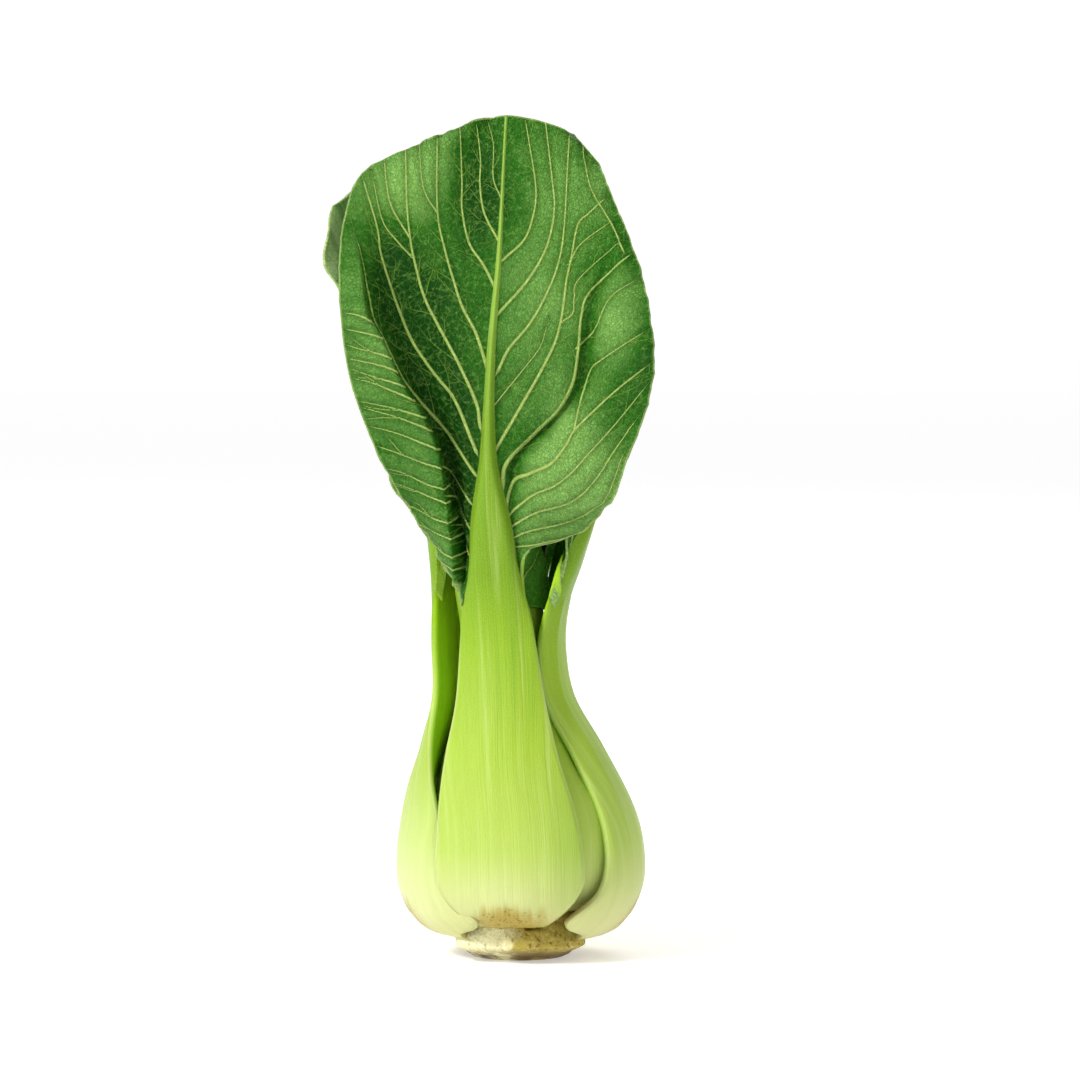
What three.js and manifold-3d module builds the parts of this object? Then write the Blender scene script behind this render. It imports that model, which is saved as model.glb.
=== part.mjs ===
// One head of green-stemmed bok choy, cut at the root and standing on the cut.
// Millimetres, +Z up, -Y is the side of the big front leaf. The origin is the middle of the cut face.
// Every leaf grows from the stump as a thick spoon-shaped stalk, pale green, that hugs the head,
// narrows to a neck and runs on as the midrib of a thin dark green blade.

import * as THREE from "three";
import { mergeVertices } from "three/addons/utils/BufferGeometryUtils.js";
import Module from "manifold-3d";

const wasm = await Module();
wasm.setup();

// Driving dimensions
const BLADE_THICKNESS = 0.9;
const CONTACT_GAP = 0.32;
const MARGIN_THICKNESS = 1.3;
const STALK_START = 0.06;
const RIB_END = 0.86;
const RIB_LEAST_HALF_WIDTH = 0.6;
const RIB_TIP_THICKNESS = 1.5;
const RIB_RELIEF = 0.3;
const LEAST_BLADE = 0.6;
const CUT_FACE_RADIUS = 11.2;
const CORE_TOP = 19.6;
// Torn bases of lost leaves stand out of the stump here, in degrees round it from +X.
const STUB_ANGLES = [-114, -56, 58];
const STUB_DEPTH = 4.5;
const STUMP_SIDES = 20;
const KNOB_HEIGHT = 0.55;
const CUT_KNOB_HEIGHT = 0.25;

// The midrib's width above the neck: [share of the way to the tip, share of the stalk's width there]
const RIB_WIDTHS = [
  [0, 1],
  [0.05, 0.87],
  [0.126, 0.7],
  [0.188, 0.53],
  [0.25, 0.34],
  [0.3, 0.225],
  [0.417, 0.135],
  [0.574, 0.09],
  [0.713, 0.058],
  [0.83, 0.03],
  [1, 0.02],
];
// How fast the midrib thins on its way up the blade
const RIB_THINNING = 2.2;
// Where on the way from the neck to the tip the blade sinks from the stalk's outer to its inner face
const SINK_START = -0.04;
const SINK_END = 0.14;
// How square a stalk's inner face is, and how its outer face rounds off into a midrib
const INNER_ARCH = 2.4;
const STALK_ARCH = 6;
const RIB_ARCH = 2.2;

// How far the head's middle line leans sideways: [height, x]
const LEAN = [
  [0, 0],
  [30, 0],
  [49, -2],
  [61, -2.6],
  [85, -4.3],
  [105, -5.4],
  [120, -5.6],
  [144, -4.4],
  [167, -2.3],
  [200, -0.8],
];

// Stalks from the root to the neck: [distance from the middle line, height, half width, thickness].
// The first two numbers follow the outer face of the stalk.
const FRONT_STALK = [
  [7, 12.6, 5, 4],
  [13, 10.2, 6, 5],
  [18, 9, 7, 5.6],
  [22.6, 9.5, 8.4, 6],
  [26.2, 11.4, 11, 6.2],
  [28.9, 14.2, 14.4, 6.5],
  [30.6, 17.6, 17.2, 6.8],
  [31.4, 21.4, 18.9, 6.9],
  [31.6, 28, 18.5, 6.8],
  [29.9, 38, 17, 6.5],
  [26, 50, 14, 6.1],
  [21.4, 62, 11.2, 5.7],
  [18, 73, 9.8, 5.3],
  [16.2, 84, 8.5, 4.9],
];
const OUTER_STALK = [
  [7, 12.5, 8, 4],
  [11, 9.2, 12, 5],
  [14.5, 6.6, 13, 5.5],
  [19, 5.2, 16.5, 6],
  [23.5, 6.9, 21, 6.3],
  [25.6, 9, 28.6, 6.5],
  [27.3, 11.2, 31, 6.6],
  [29.4, 17, 26.2, 6.8],
  [29.8, 23, 24, 6.8],
  [28.8, 31, 22.4, 6.5],
  [26.3, 39.5, 20, 6.2],
  [21.7, 50.5, 16.6, 5.8],
  [17.2, 62, 13, 5.4],
  [14.9, 74, 10.4, 5],
  [16, 84, 9.2, 4.6],
];
// The necks of the right and left stalks, in place of the last three rows above
const RIGHT_NECK = [
  [15.8, 62, 13.4, 5.4],
  [14.6, 74, 12, 5],
  [16.2, 84, 10.6, 4.6],
];
const LEFT_NECK = [
  [18.5, 62, 14, 5.4],
  [17.8, 74, 13.6, 5],
  [17.1, 84, 12.2, 4.6],
];
const SECOND_STALK = [
  [7, 14.5, 5, 4],
  [13, 12.6, 7, 4.6],
  [18.5, 12.2, 9, 5],
  [22.8, 14.6, 11.5, 5],
  [25.3, 18.5, 13.4, 5],
  [26.3, 24, 14.4, 5],
  [26, 31, 14.4, 4.9],
  [24, 39, 13.2, 4.7],
  [19.6, 48, 11.4, 4.4],
  [15.4, 57, 9.4, 4.1],
  [12.8, 66, 8, 3.8],
  [11.2, 75, 7, 3.6],
  [10.8, 82, 6.4, 3.4],
];
const INNER_STALK = [
  [6, 15.5, 6, 3.5],
  [10, 14.2, 10, 4],
  [14.5, 13.6, 13.5, 4.5],
  [18.6, 16, 15, 4.8],
  [20.8, 20.8, 15.4, 4.8],
  [21.4, 27, 15, 4.6],
  [20.2, 36, 13.6, 4.3],
  [17, 46, 11.4, 4],
  [13.6, 56, 9.2, 3.7],
  [11.2, 67, 7.2, 3.4],
  [10.4, 78, 6, 3.2],
];
const HEART_STALK = [
  [3.5, 18.5, 4, 2.6],
  [7.5, 19, 6.5, 3],
  [10.8, 22, 8.4, 3.2],
  [12, 28, 8.6, 3.2],
  [11.2, 37, 7.6, 3],
  [8.8, 48, 6.2, 2.8],
  [6.8, 58, 4.8, 2.6],
  [6, 67, 4, 2.4],
];

// Blade outlines: [midrib, left reach, left, right reach, right]. Reaches are sideways from the
// midrib, and the other numbers are shares of the way from the neck to the tip.
const FRONT_BLADE = [
  [0.02, 8.9, 0.0, 7, 0.09],
  [0.12, 12.3, 0.044, 10, 0.118],
  [0.23, 17, 0.12, 20, 0.14],
  [0.315, 21.5, 0.227, 27, 0.195],
  [0.41, 27, 0.34, 32, 0.28],
  [0.507, 32.5, 0.47, 36.5, 0.384],
  [0.6, 36, 0.62, 38.6, 0.507],
  [0.7, 37, 0.733, 35.5, 0.638],
  [0.795, 35.8, 0.82, 30, 0.75],
  [0.88, 33, 0.88, 25, 0.84],
  [0.945, 26.5, 0.918, 21.5, 0.905],
  [1.0, 14, 0.962, 15.5, 0.967],
];
// The other blades share one outline, with reaches as shares of the widest one.
const COMMON_BLADE = [
  [0.02, 0.36, 0.0, 0.36, 0.0],
  [0.12, 0.46, 0.06, 0.44, 0.07],
  [0.24, 0.64, 0.16, 0.62, 0.18],
  [0.36, 0.8, 0.29, 0.8, 0.3],
  [0.48, 0.92, 0.43, 0.93, 0.42],
  [0.6, 1.0, 0.57, 1.0, 0.55],
  [0.72, 0.99, 0.71, 0.97, 0.68],
  [0.82, 0.92, 0.83, 0.9, 0.8],
  [0.91, 0.78, 0.91, 0.76, 0.89],
  [1.0, 0.54, 0.965, 0.54, 0.955],
];
// The second blade hangs out to the right at its base.
const SECOND_BLADE = [
  [0.02, 0.36, 0.0, 0.84, 0.0],
  [0.12, 0.46, 0.06, 0.9, 0.06],
  [0.24, 0.64, 0.16, 0.92, 0.16],
  ...COMMON_BLADE.slice(3),
];
// The right blade reaches less far to the front at its base, and farther round the back.
const RIGHT_BLADE = [
  [0.02, 0.5, 0.0, 0.66, 0.0],
  [0.12, 0.38, 0.06, 0.72, 0.07],
  [0.24, 0.44, 0.16, 0.78, 0.18],
  [0.36, 0.62, 0.29, 0.86, 0.3],
  [0.48, 0.82, 0.43, 0.94, 0.42],
  ...COMMON_BLADE.slice(5),
];
const ROW_BEND = 1.7;

// Folds of the front blade: [share of the way from the neck to the tip, distance from the midrib]
const LEFT_FOLD = [
  [0, 12.2],
  [0.11, 11.4],
  [0.22, 11.6],
  [0.317, 13.1],
  [0.404, 17.5],
  [0.46, 21.8],
  [0.55, 26.9],
  [0.61, 31.6],
  [0.7, 33.2],
  [0.82, 35],
];
const RIGHT_FOLD = [
  [0.2, 3.2],
  [0.27, 4.2],
  [0.31, 6],
  [0.34, 9],
  [0.38, 14],
  [0.43, 18.2],
  [0.483, 20.4],
  [0.56, 20.8],
  [0.63, 21.6],
  [0.7, 24],
];
const HOLLOW_DEPTH = 5.2;
const LEFT_CREST = 3.4;
const TIP_FLARE = 4;
const RIGHT_DIP = 2.4;
const RIGHT_SWELL = 3.8;
const LOBE_LIFT = 3.4;

// Small helpers
const clamp01 = (x) => Math.min(1, Math.max(0, x));
const mix = (a, b, t) => a + (b - a) * t;
const radians = (degrees) => (degrees * Math.PI) / 180;

function smoothstep(from, to, x) {
  const t = clamp01((x - from) / (to - from));
  return t * t * (3 - 2 * t);
}

// A smooth curve through rows of numbers: knots[i] is where row i sits along it.
function track(knots, rows) {
  const last = knots.length - 1;
  const slope = (i, k) => {
    const before = Math.max(0, i - 1);
    const after = Math.min(last, i + 1);
    return (rows[after][k] - rows[before][k]) / (knots[after] - knots[before]);
  };
  return (at) => {
    const x = Math.min(knots[last], Math.max(knots[0], at));
    let i = 0;
    while (i < last - 1 && x > knots[i + 1]) i += 1;
    const span = knots[i + 1] - knots[i];
    const t = (x - knots[i]) / span;
    const h00 = 2 * t ** 3 - 3 * t ** 2 + 1;
    const h10 = t ** 3 - 2 * t ** 2 + t;
    const h01 = 3 * t ** 2 - 2 * t ** 3;
    const h11 = t ** 3 - t ** 2;
    return rows[i].map(
      (value, k) =>
        h00 * value + h10 * span * slope(i, k) + h01 * rows[i + 1][k] + h11 * span * slope(i + 1, k),
    );
  };
}

// A track of one value from rows of [where, value].
const trackOf = (points) =>
  track(
    points.map(([at]) => at),
    points.map(([, value]) => [value]),
  );
const leanAt = trackOf(LEAN);
const ribWidth = trackOf(RIB_WIDTHS);
const leftFold = trackOf(LEFT_FOLD);
const rightFold = trackOf(RIGHT_FOLD);

// The leaf's own coordinates: along is the distance up the spine, across is sideways from it.
function leafForm(leaf) {
  const spine = [...leaf.stalk, ...leaf.crown];
  const knots = [0];
  for (let i = 1; i < spine.length; i += 1) {
    knots.push(knots[i - 1] + Math.hypot(spine[i][0] - spine[i - 1][0], spine[i][1] - spine[i - 1][1]));
  }
  const neck = knots[leaf.stalk.length - 1];
  const tip = knots[knots.length - 1];
  const place = track(
    knots,
    spine.map(([r, z]) => [r, z]),
  );
  const section = track(
    knots.slice(0, leaf.stalk.length),
    leaf.stalk.map(([, , half, thick]) => [half, thick]),
  );
  const share = (along) => (along - neck) / (tip - neck);

  // Half width of the stalk and of the midrib that it turns into.
  function halfWidth(along) {
    const f = share(along);
    const [half] = section(along);
    return f <= 0 ? half : Math.max(half * ribWidth(f)[0], RIB_LEAST_HALF_WIDTH);
  }
  function thickness(along) {
    const f = share(along);
    const [, thick] = section(along);
    if (f <= 0) return thick;
    return mix(RIB_TIP_THICKNESS, thick, (1 - clamp01(f)) ** RIB_THINNING);
  }
  // Where the leaf's middle is round the head, in radians.
  function azimuth(height) {
    const [low, neckTurn, high] = leaf.azimuth;
    const first = mix(low, neckTurn, smoothstep(32, 66, height));
    return radians(mix(first, high, smoothstep(90, 135, height)));
  }

  // The smooth sheet that the outer face follows, before the blade's waves.
  function sheet(across, along) {
    const [r, z] = place(along);
    const wrap = 1 / (leaf.wrap * r);
    const bend = mix(wrap, leaf.cup, smoothstep(-0.02, 0.32, share(along))) + 1e-6;
    const sideways = Math.sin(bend * across) / bend;
    const outward = r - (1 - Math.cos(bend * across)) / bend;
    const turn = azimuth(z);
    return new THREE.Vector3(
      leanAt(z)[0] + outward * Math.sin(turn) + sideways * Math.cos(turn),
      -outward * Math.cos(turn) + sideways * Math.sin(turn),
      z,
    );
  }
  function normalOf(surface, a, b) {
    const step = 0.05;
    const side = surface(a + step, b).sub(surface(a - step, b));
    const up = surface(a, b + step).sub(surface(a, b - step));
    return side.cross(up).normalize();
  }
  function raised(surface, a, b, by) {
    return surface(a, b).addScaledVector(normalOf(surface, a, b), by);
  }

  // The blade starts level with the stalk's outer face and soon sinks to its inner face, so that the
  // midrib stands out of the blade's outer face. lift is how far that has gone.
  const liftAt = (f) => smoothstep(SINK_START, SINK_END, f);

  // Outer and inner faces of the stalk and midrib.
  function stalkFace(outer) {
    return (u, v) => {
      const along = mix(STALK_START, mix(neck, tip, RIB_END), v);
      const f = share(along);
      const thick = thickness(along);
      const edge = -liftAt(f) * (thick - BLADE_THICKNESS);
      const margin = Math.min(MARGIN_THICKNESS, 0.8 * thick);
      const rim = mix(margin, BLADE_THICKNESS, smoothstep(SINK_START, 0.02, f));
      const arch = outer ? mix(STALK_ARCH, RIB_ARCH, smoothstep(0, 0.5, f)) : INNER_ARCH;
      const middle = outer ? RIB_RELIEF * liftAt(f) : -thick;
      const by = mix(outer ? edge : edge - rim, middle, 1 - Math.abs(u) ** arch);
      return raised(sheet, u * halfWidth(along), along, by - leaf.inset);
    };
  }

  const outline = track(
    leaf.blade.map((_, i) => i),
    leaf.blade,
  );
  // A place on the blade: u runs from the left edge to the right, v from base to tip.
  // w is how far out the place is, from 0 at the midrib's edge to 1 at the margin.
  function bladeSpot(u, v) {
    const [mid, leftReach, left, rightReach, right] = outline(v * (leaf.blade.length - 1));
    const half = halfWidth(mix(neck, tip, mid));
    const reach = Math.max((u < 0 ? leftReach : rightReach) * leaf.reach, half + LEAST_BLADE);
    const w = Math.max(0, (Math.abs(u) * reach - half) / (reach - half));
    const f = mix(mid, u < 0 ? left : right, w ** ROW_BEND);
    return { across: u * reach, f, w, half, reach };
  }
  function bladeSheet(u, v) {
    const spot = bladeSpot(u, v);
    const along = mix(neck, tip, spot.f);
    const depth = liftAt(spot.f) * (thickness(along) - BLADE_THICKNESS) + BLADE_THICKNESS / 2;
    return raised(sheet, spot.across, along, leaf.waves(spot) - depth - leaf.inset);
  }
  function bladeFace(outer) {
    const half = BLADE_THICKNESS / 2;
    return (u, v) => {
      const step = 0.02;
      const u0 = Math.max(-1, u - step);
      const u1 = Math.min(1, u + step);
      const v0 = Math.max(0, v - step);
      const v1 = Math.min(1, v + step);
      const side = bladeSheet(u1, v).sub(bladeSheet(u0, v));
      const up = bladeSheet(u, v1).sub(bladeSheet(u, v0));
      const normal = side.cross(up).normalize();
      return bladeSheet(u, v).addScaledVector(normal, outer ? half : -half);
    };
  }
  return { stalkFace, bladeFace };
}

// A closed solid between two faces over the same grid. Both faces split their squares alike.
function slab(outer, inner, columns, rows) {
  const points = [];
  const indices = [];
  const sideCount = (columns + 1) * (rows + 1);
  [outer, inner].forEach((face) => {
    for (let j = 0; j <= rows; j += 1) {
      for (let i = 0; i <= columns; i += 1) {
        const p = face((2 * i) / columns - 1, j / rows);
        points.push(p.x, p.y, p.z);
      }
    }
  });
  const at = (side, i, j) => side * sideCount + j * (columns + 1) + i;
  for (let j = 0; j < rows; j += 1) {
    for (let i = 0; i < columns; i += 1) {
      const [a, b] = [at(0, i, j), at(0, i + 1, j)];
      const [c, d] = [at(0, i + 1, j + 1), at(0, i, j + 1)];
      const [e, f] = [at(1, i, j), at(1, i + 1, j)];
      const [g, h] = [at(1, i + 1, j + 1), at(1, i, j + 1)];
      indices.push(a, b, c, a, c, d, e, g, f, e, h, g);
    }
  }
  const wall = (p, q, r, s) => indices.push(p, r, q, q, r, s);
  for (let i = 0; i < columns; i += 1) {
    wall(at(0, i, 0), at(0, i + 1, 0), at(1, i, 0), at(1, i + 1, 0));
    wall(at(0, i + 1, rows), at(0, i, rows), at(1, i + 1, rows), at(1, i, rows));
  }
  for (let j = 0; j < rows; j += 1) {
    wall(at(0, columns, j), at(0, columns, j + 1), at(1, columns, j), at(1, columns, j + 1));
    wall(at(0, 0, j + 1), at(0, 0, j), at(1, 0, j + 1), at(1, 0, j));
  }
  const geometry = new THREE.BufferGeometry();
  geometry.setAttribute("position", new THREE.Float32BufferAttribute(points, 3));
  geometry.setIndex(indices);
  return geometry;
}

function solidOf(geometry) {
  const bare = geometry.clone();
  bare.deleteAttribute("normal");
  bare.deleteAttribute("uv");
  const merged = mergeVertices(bare, 1e-4);
  const mesh = new wasm.Mesh({
    numProp: 3,
    vertProperties: merged.attributes.position.array,
    triVerts: new Uint32Array(merged.index.array),
  });
  return new wasm.Manifold(mesh);
}

// The room that a piece takes: its geometry with every point pushed out by the contact gap.
function roomOf(geometry) {
  const swollen = geometry.clone();
  swollen.computeVertexNormals();
  const { position, normal } = swollen.attributes;
  for (let i = 0; i < position.count; i += 1) {
    position.setXYZ(
      i,
      position.getX(i) + CONTACT_GAP * normal.getX(i),
      position.getY(i) + CONTACT_GAP * normal.getY(i),
      position.getZ(i) + CONTACT_GAP * normal.getZ(i),
    );
  }
  return solidOf(swollen);
}

// The largest body of a solid: scraps that a cut leaves loose are dropped.
function largestBody(solid) {
  return solid.decompose().reduce((best, body) => (body.volume() > best.volume() ? body : best));
}

function geometryOf(solid) {
  const { vertProperties, triVerts } = solid.getMesh();
  const geometry = new THREE.BufferGeometry();
  geometry.setAttribute("position", new THREE.BufferAttribute(vertProperties, 3));
  geometry.setIndex(new THREE.BufferAttribute(triVerts, 1));
  return geometry;
}

// The stump: a short knobbly cylinder with a flat cut below and a core that the leaves grow from.
function stumpGeometry() {
  const profile = [
    [CUT_FACE_RADIUS, 0],
    [12.9, 1.2],
    [13.9, 3.6],
    [13.7, 5.8],
    [12.4, 7.8],
    [11, 10],
    [9.6, 13],
    [7.4, 16.2],
    [4, 18.6],
  ];
  const around = STUMP_SIDES;
  const scars = STUB_ANGLES.map(radians);
  const points = [0, 0, 0, 0, 0, CORE_TOP];
  const indices = [];
  profile.forEach(([radius, height], ring) => {
    const middling = Math.sin((Math.PI * ring) / (profile.length - 1));
    const knobs = ring === 0 ? CUT_KNOB_HEIGHT : KNOB_HEIGHT * middling;
    for (let i = 0; i < around; i += 1) {
      const angle = (2 * Math.PI * i) / around;
      const bump = Math.sin(5 * angle + ring) + 0.6 * Math.sin(9 * angle - 2 * ring);
      const scar = Math.max(...scars.map((middle) => Math.max(0, Math.cos(angle - middle)) ** 6));
      const stub = STUB_DEPTH * scar * smoothstep(1, 6, height) * smoothstep(13, 9, height);
      const r = radius + knobs * bump + stub;
      points.push(r * Math.cos(angle), r * Math.sin(angle), height);
    }
  });
  const at = (ring, i) => 2 + ring * around + (i % around);
  const top = profile.length - 1;
  for (let i = 0; i < around; i += 1) {
    indices.push(0, at(0, i + 1), at(0, i), 1, at(top, i), at(top, i + 1));
    for (let ring = 0; ring < top; ring += 1) {
      const [a, b] = [at(ring, i), at(ring, i + 1)];
      const [c, d] = [at(ring + 1, i + 1), at(ring + 1, i)];
      indices.push(a, b, c, a, c, d);
    }
  }
  const geometry = new THREE.BufferGeometry();
  geometry.setAttribute("position", new THREE.Float32BufferAttribute(points, 3));
  geometry.setIndex(indices);
  return geometry;
}

// Waves of a blade, in millimetres off its smooth sheet, growing towards the edges.
function ruffle(height, count, phase) {
  return ({ across, w, f }) => {
    const side = across < 0 ? 0 : 1.9;
    return height * w ** 2 * Math.sin(2 * Math.PI * count * f + phase + side);
  };
}

// The left leaf: as a ruffle, with the front edge of its tip flaring outwards.
function leftWaves(spot) {
  const flare = spot.across > 0 ? TIP_FLARE * spot.w ** 2 * smoothstep(0.7, 0.9, spot.f) : 0;
  return ruffle(2.2, 2, 2.6)(spot) + flare;
}

// The front blade: its left side folds forward beyond a hollow, and its right lobe swells forward
// beyond a narrow dip.
function frontWaves({ across, w, f, half, reach }) {
  const out = Math.abs(across);
  if (across < 0) {
    const fold = Math.max(leftFold(f)[0], half + 1);
    const t = clamp01((out - half) / (fold - half));
    const hollow = -HOLLOW_DEPTH * Math.sin(Math.PI * t ** 2.4);
    const beyond = clamp01((out - fold) / Math.max(reach - fold, 1));
    const crest = LEFT_CREST * smoothstep(0.72, 1, t) * (1 - 0.5 * beyond);
    return (hollow + crest) * smoothstep(0.86, 0.6, f) * smoothstep(0.0, 0.1, f);
  }
  const fold = rightFold(f)[0];
  const dip = -RIGHT_DIP * Math.exp(-(((out - fold - 1.6) / 2.4) ** 2));
  const t = clamp01((out - fold - 1) / Math.max(reach - fold, 4));
  const swell = RIGHT_SWELL * Math.sin(Math.PI * t ** 0.8) ** 1.2;
  const lower = smoothstep(0.8, 0.55, f) * smoothstep(0.08, 0.3, f);
  const lift = LOBE_LIFT * w * smoothstep(0.04, 0.14, f) * smoothstep(0.44, 0.28, f);
  return (dip + swell) * lower * smoothstep(0, 0.15, w) + lift - 1.6 * smoothstep(0.6, 1, f) * w * w;
}

const STALK_GREEN = 0xb7d36c;
const BLADE_GREEN = 0x3f8a2e;
const INNER_BLADE_GREEN = 0x58a338;
const STUMP_CREAM = 0xd6cf94;

// The middle of a blade above the neck, leaning outwards evenly: [distance from the middle line, height].
function flare([near, bottom], [far, top]) {
  return [0.25, 0.5, 0.75, 1].map((share) => [mix(near, far, share ** 1.3), mix(bottom, top, share)]);
}

// Leaves from the outermost in: a leaf is cut clear of every leaf before it.
// azimuth is in degrees round the head from the front, at the bulb, the neck and the blade.
const outerLeaves = [
  {
    name: "front_leaf",
    azimuth: [-5, -5, -5],
    stalk: FRONT_STALK,
    crown: [
      [16.4, 96],
      [17.8, 110],
      [20.2, 125],
      [22.8, 140],
      [24.6, 156],
      [25.2, 172],
      [24.6, 186],
      [23, 198.8],
    ],
    blade: FRONT_BLADE,
    reach: 1,
    wrap: 0.92,
    cup: -0.006,
    inset: 0,
    waves: frontWaves,
    grid: [8, 18, 14, 12],
    color: BLADE_GREEN,
  },
  {
    name: "second_leaf",
    azimuth: [20, 6, 14],
    stalk: SECOND_STALK,
    crown: [
      [11.4, 94],
      [12.8, 108],
      [14.6, 122],
      [15.6, 136],
      [15, 150],
    ],
    blade: SECOND_BLADE,
    reach: 15,
    wrap: 1.5,
    cup: 0.06,
    inset: 0,
    waves: ruffle(0.6, 1.6, 0.4),
    grid: [6, 13, 6, 6],
    color: INNER_BLADE_GREEN,
  },
  {
    name: "right_leaf",
    azimuth: [90, 83, 97],
    stalk: [...OUTER_STALK.slice(0, -3), ...RIGHT_NECK],
    crown: [
      [19.8, 94],
      [24, 106],
      [27.4, 120],
      [29.6, 135],
      [30.4, 149],
      [29, 162],
    ],
    blade: RIGHT_BLADE,
    reach: 21,
    wrap: 1,
    cup: -0.004,
    inset: 0,
    waves: ruffle(2.2, 2, 0.9),
    grid: [6, 17, 8, 9],
    color: BLADE_GREEN,
  },
  {
    name: "left_leaf",
    azimuth: [-87, -126, -100],
    stalk: [...OUTER_STALK.slice(0, -3), ...LEFT_NECK],
    crown: [
      [17.4, 96],
      [18.8, 109],
      [22.4, 123],
      [27.2, 138],
      [32.2, 153],
      [36.6, 166],
      [38.6, 175],
      [38.2, 182],
    ],
    blade: COMMON_BLADE,
    reach: 22,
    wrap: 1,
    cup: -0.002,
    inset: 0.5,
    waves: leftWaves,
    grid: [6, 17, 8, 9],
    color: BLADE_GREEN,
  },
  {
    name: "back_leaf",
    azimuth: [178, 178, 178],
    stalk: OUTER_STALK,
    crown: [
      [18.6, 95],
      [23, 107],
      [27.4, 120],
      [31.6, 134],
      [35, 148],
      [37.4, 162],
      [38, 175],
    ],
    blade: COMMON_BLADE,
    reach: 28,
    wrap: 0.94,
    cup: -0.004,
    inset: 1,
    waves: ruffle(2.6, 2, 0.2),
    grid: [6, 17, 8, 9],
    color: BLADE_GREEN,
  },
];

// Middle leaves: [side, azimuth, blade's distance from the middle line below and above, height, inset, cup]
const middleLeaves = [
  ["back_right", 140, 12.2, 17.4, 146, 0, 0.058],
  ["left", -66, 11, 14.6, 134, 0.3, 0.066],
  ["right", 72, 10.2, 12.8, 140, 0.6, 0.076],
  ["back_left", -152, 9.8, 12.2, 148, 0.9, 0.08],
].map(([side, turn, low, high, height, inset, cup]) => ({
  name: `inner_leaf_${side}`,
  azimuth: [turn, turn, turn],
  stalk: INNER_STALK,
  crown: flare([low, 78], [high, height]),
  blade: COMMON_BLADE,
  reach: 13,
  wrap: 0.95,
  cup,
  inset,
  waves: ruffle(0.5, 1.5, turn),
  grid: [4, 11, 4, 5],
  color: INNER_BLADE_GREEN,
}));

// Heart leaves: [azimuth, height, inset]
const heartLeaves = [
  [-15, 112, 0],
  [105, 104, 0.5],
  [-130, 97, 1],
].map(([turn, height, inset], i) => ({
  name: `heart_leaf_${i + 1}`,
  azimuth: [turn, turn, turn],
  stalk: HEART_STALK,
  crown: flare([6, 67], [6.6, height]),
  blade: COMMON_BLADE,
  reach: 6.2,
  wrap: 0.95,
  cup: 0.14,
  inset,
  waves: ruffle(0.2, 1, turn),
  grid: [4, 7, 4, 4],
  color: INNER_BLADE_GREEN,
}));

const leaves = [...outerLeaves, ...middleLeaves, ...heartLeaves];

const head = new THREE.Group();

function addPiece(name, solid, color, roughness) {
  const material = new THREE.MeshStandardMaterial({ color, roughness, metalness: 0 });
  const mesh = new THREE.Mesh(geometryOf(solid), material);
  mesh.name = name;
  head.add(mesh);
}

const stump = stumpGeometry();
addPiece("stump", solidOf(stump), STUMP_CREAM, 0.8);

// Stalks first, then blades, each cut clear of what is placed before it.
let taken = roomOf(stump);
function placeNext(geometry) {
  const own = largestBody(solidOf(geometry).subtract(taken));
  taken = taken.add(roomOf(geometry));
  return own;
}
leaves.forEach((leaf) => {
  const { stalkFace } = leafForm(leaf);
  const [columns, rows] = leaf.grid;
  const own = placeNext(slab(stalkFace(true), stalkFace(false), columns, rows));
  addPiece(`${leaf.name}_stalk`, own, STALK_GREEN, 0.42);
});
leaves.forEach((leaf) => {
  const { bladeFace } = leafForm(leaf);
  const [, , columns, rows] = leaf.grid;
  const own = placeNext(slab(bladeFace(true), bladeFace(false), columns, rows));
  addPiece(`${leaf.name}_blade`, own, leaf.color, 0.5);
});

export default head;
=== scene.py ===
"""One head of green-stemmed bok choy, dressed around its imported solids.

Every leaf is one closed mesh: a thick spoon-shaped stalk that runs on as the midrib of a thin blade,
with its veins, quilting and waves as geometry and its fine net of veins in the material.
The leaf form is worked out in millimetres, in the same frame as the solids, and scaled to metres.
"""

import math

import bpy
import numpy as np
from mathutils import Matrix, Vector
from mathutils.kdtree import KDTree


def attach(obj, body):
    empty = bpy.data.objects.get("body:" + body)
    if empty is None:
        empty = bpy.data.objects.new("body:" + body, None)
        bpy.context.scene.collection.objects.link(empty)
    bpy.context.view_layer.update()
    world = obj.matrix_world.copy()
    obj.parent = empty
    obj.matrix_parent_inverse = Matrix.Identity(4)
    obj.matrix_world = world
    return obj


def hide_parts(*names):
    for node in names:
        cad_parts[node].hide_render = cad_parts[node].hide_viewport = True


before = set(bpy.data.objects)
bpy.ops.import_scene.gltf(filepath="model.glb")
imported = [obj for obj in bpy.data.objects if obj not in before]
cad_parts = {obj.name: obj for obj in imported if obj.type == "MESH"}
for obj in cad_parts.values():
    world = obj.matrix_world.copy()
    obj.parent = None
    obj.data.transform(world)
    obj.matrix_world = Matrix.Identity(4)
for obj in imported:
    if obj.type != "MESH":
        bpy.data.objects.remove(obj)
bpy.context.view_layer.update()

MM = 0.001

# Leaf sizes in millimetres
BLADE_THICKNESS = 0.7
MARGIN_THICKNESS = 1.3
MARGIN_SHARE = 0.8
RIB_LEAST_HALF_WIDTH = 0.12
RIB_TIP_THICKNESS = 0.85
RIB_RELIEF = 0.3
LEAST_BLADE = 0.08

# Exponents: how fast the midrib thins, how square its faces are, how much the rows of a blade curve
RIB_TAPER = 2.2
STALK_SQUARENESS = 6
RIB_SQUARENESS = 2.2
INNER_SQUARENESS = 2.4
ROW_BEND = 1.7

# Shares of the way from the neck to the tip between which the stalk's edge thins, the blade sinks to the
# midrib's inner face, the stalk's wrap gives way to the blade's cup, and the midrib gets rounder
MARGIN_THINS = (-0.04, 0.02)
BLADE_SINKS = (-0.04, 0.14)
WRAP_ENDS = (-0.02, 0.32)
RIB_ROUNDS = (0, 0.5)
LEAST_BEND = 1e-6

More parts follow.
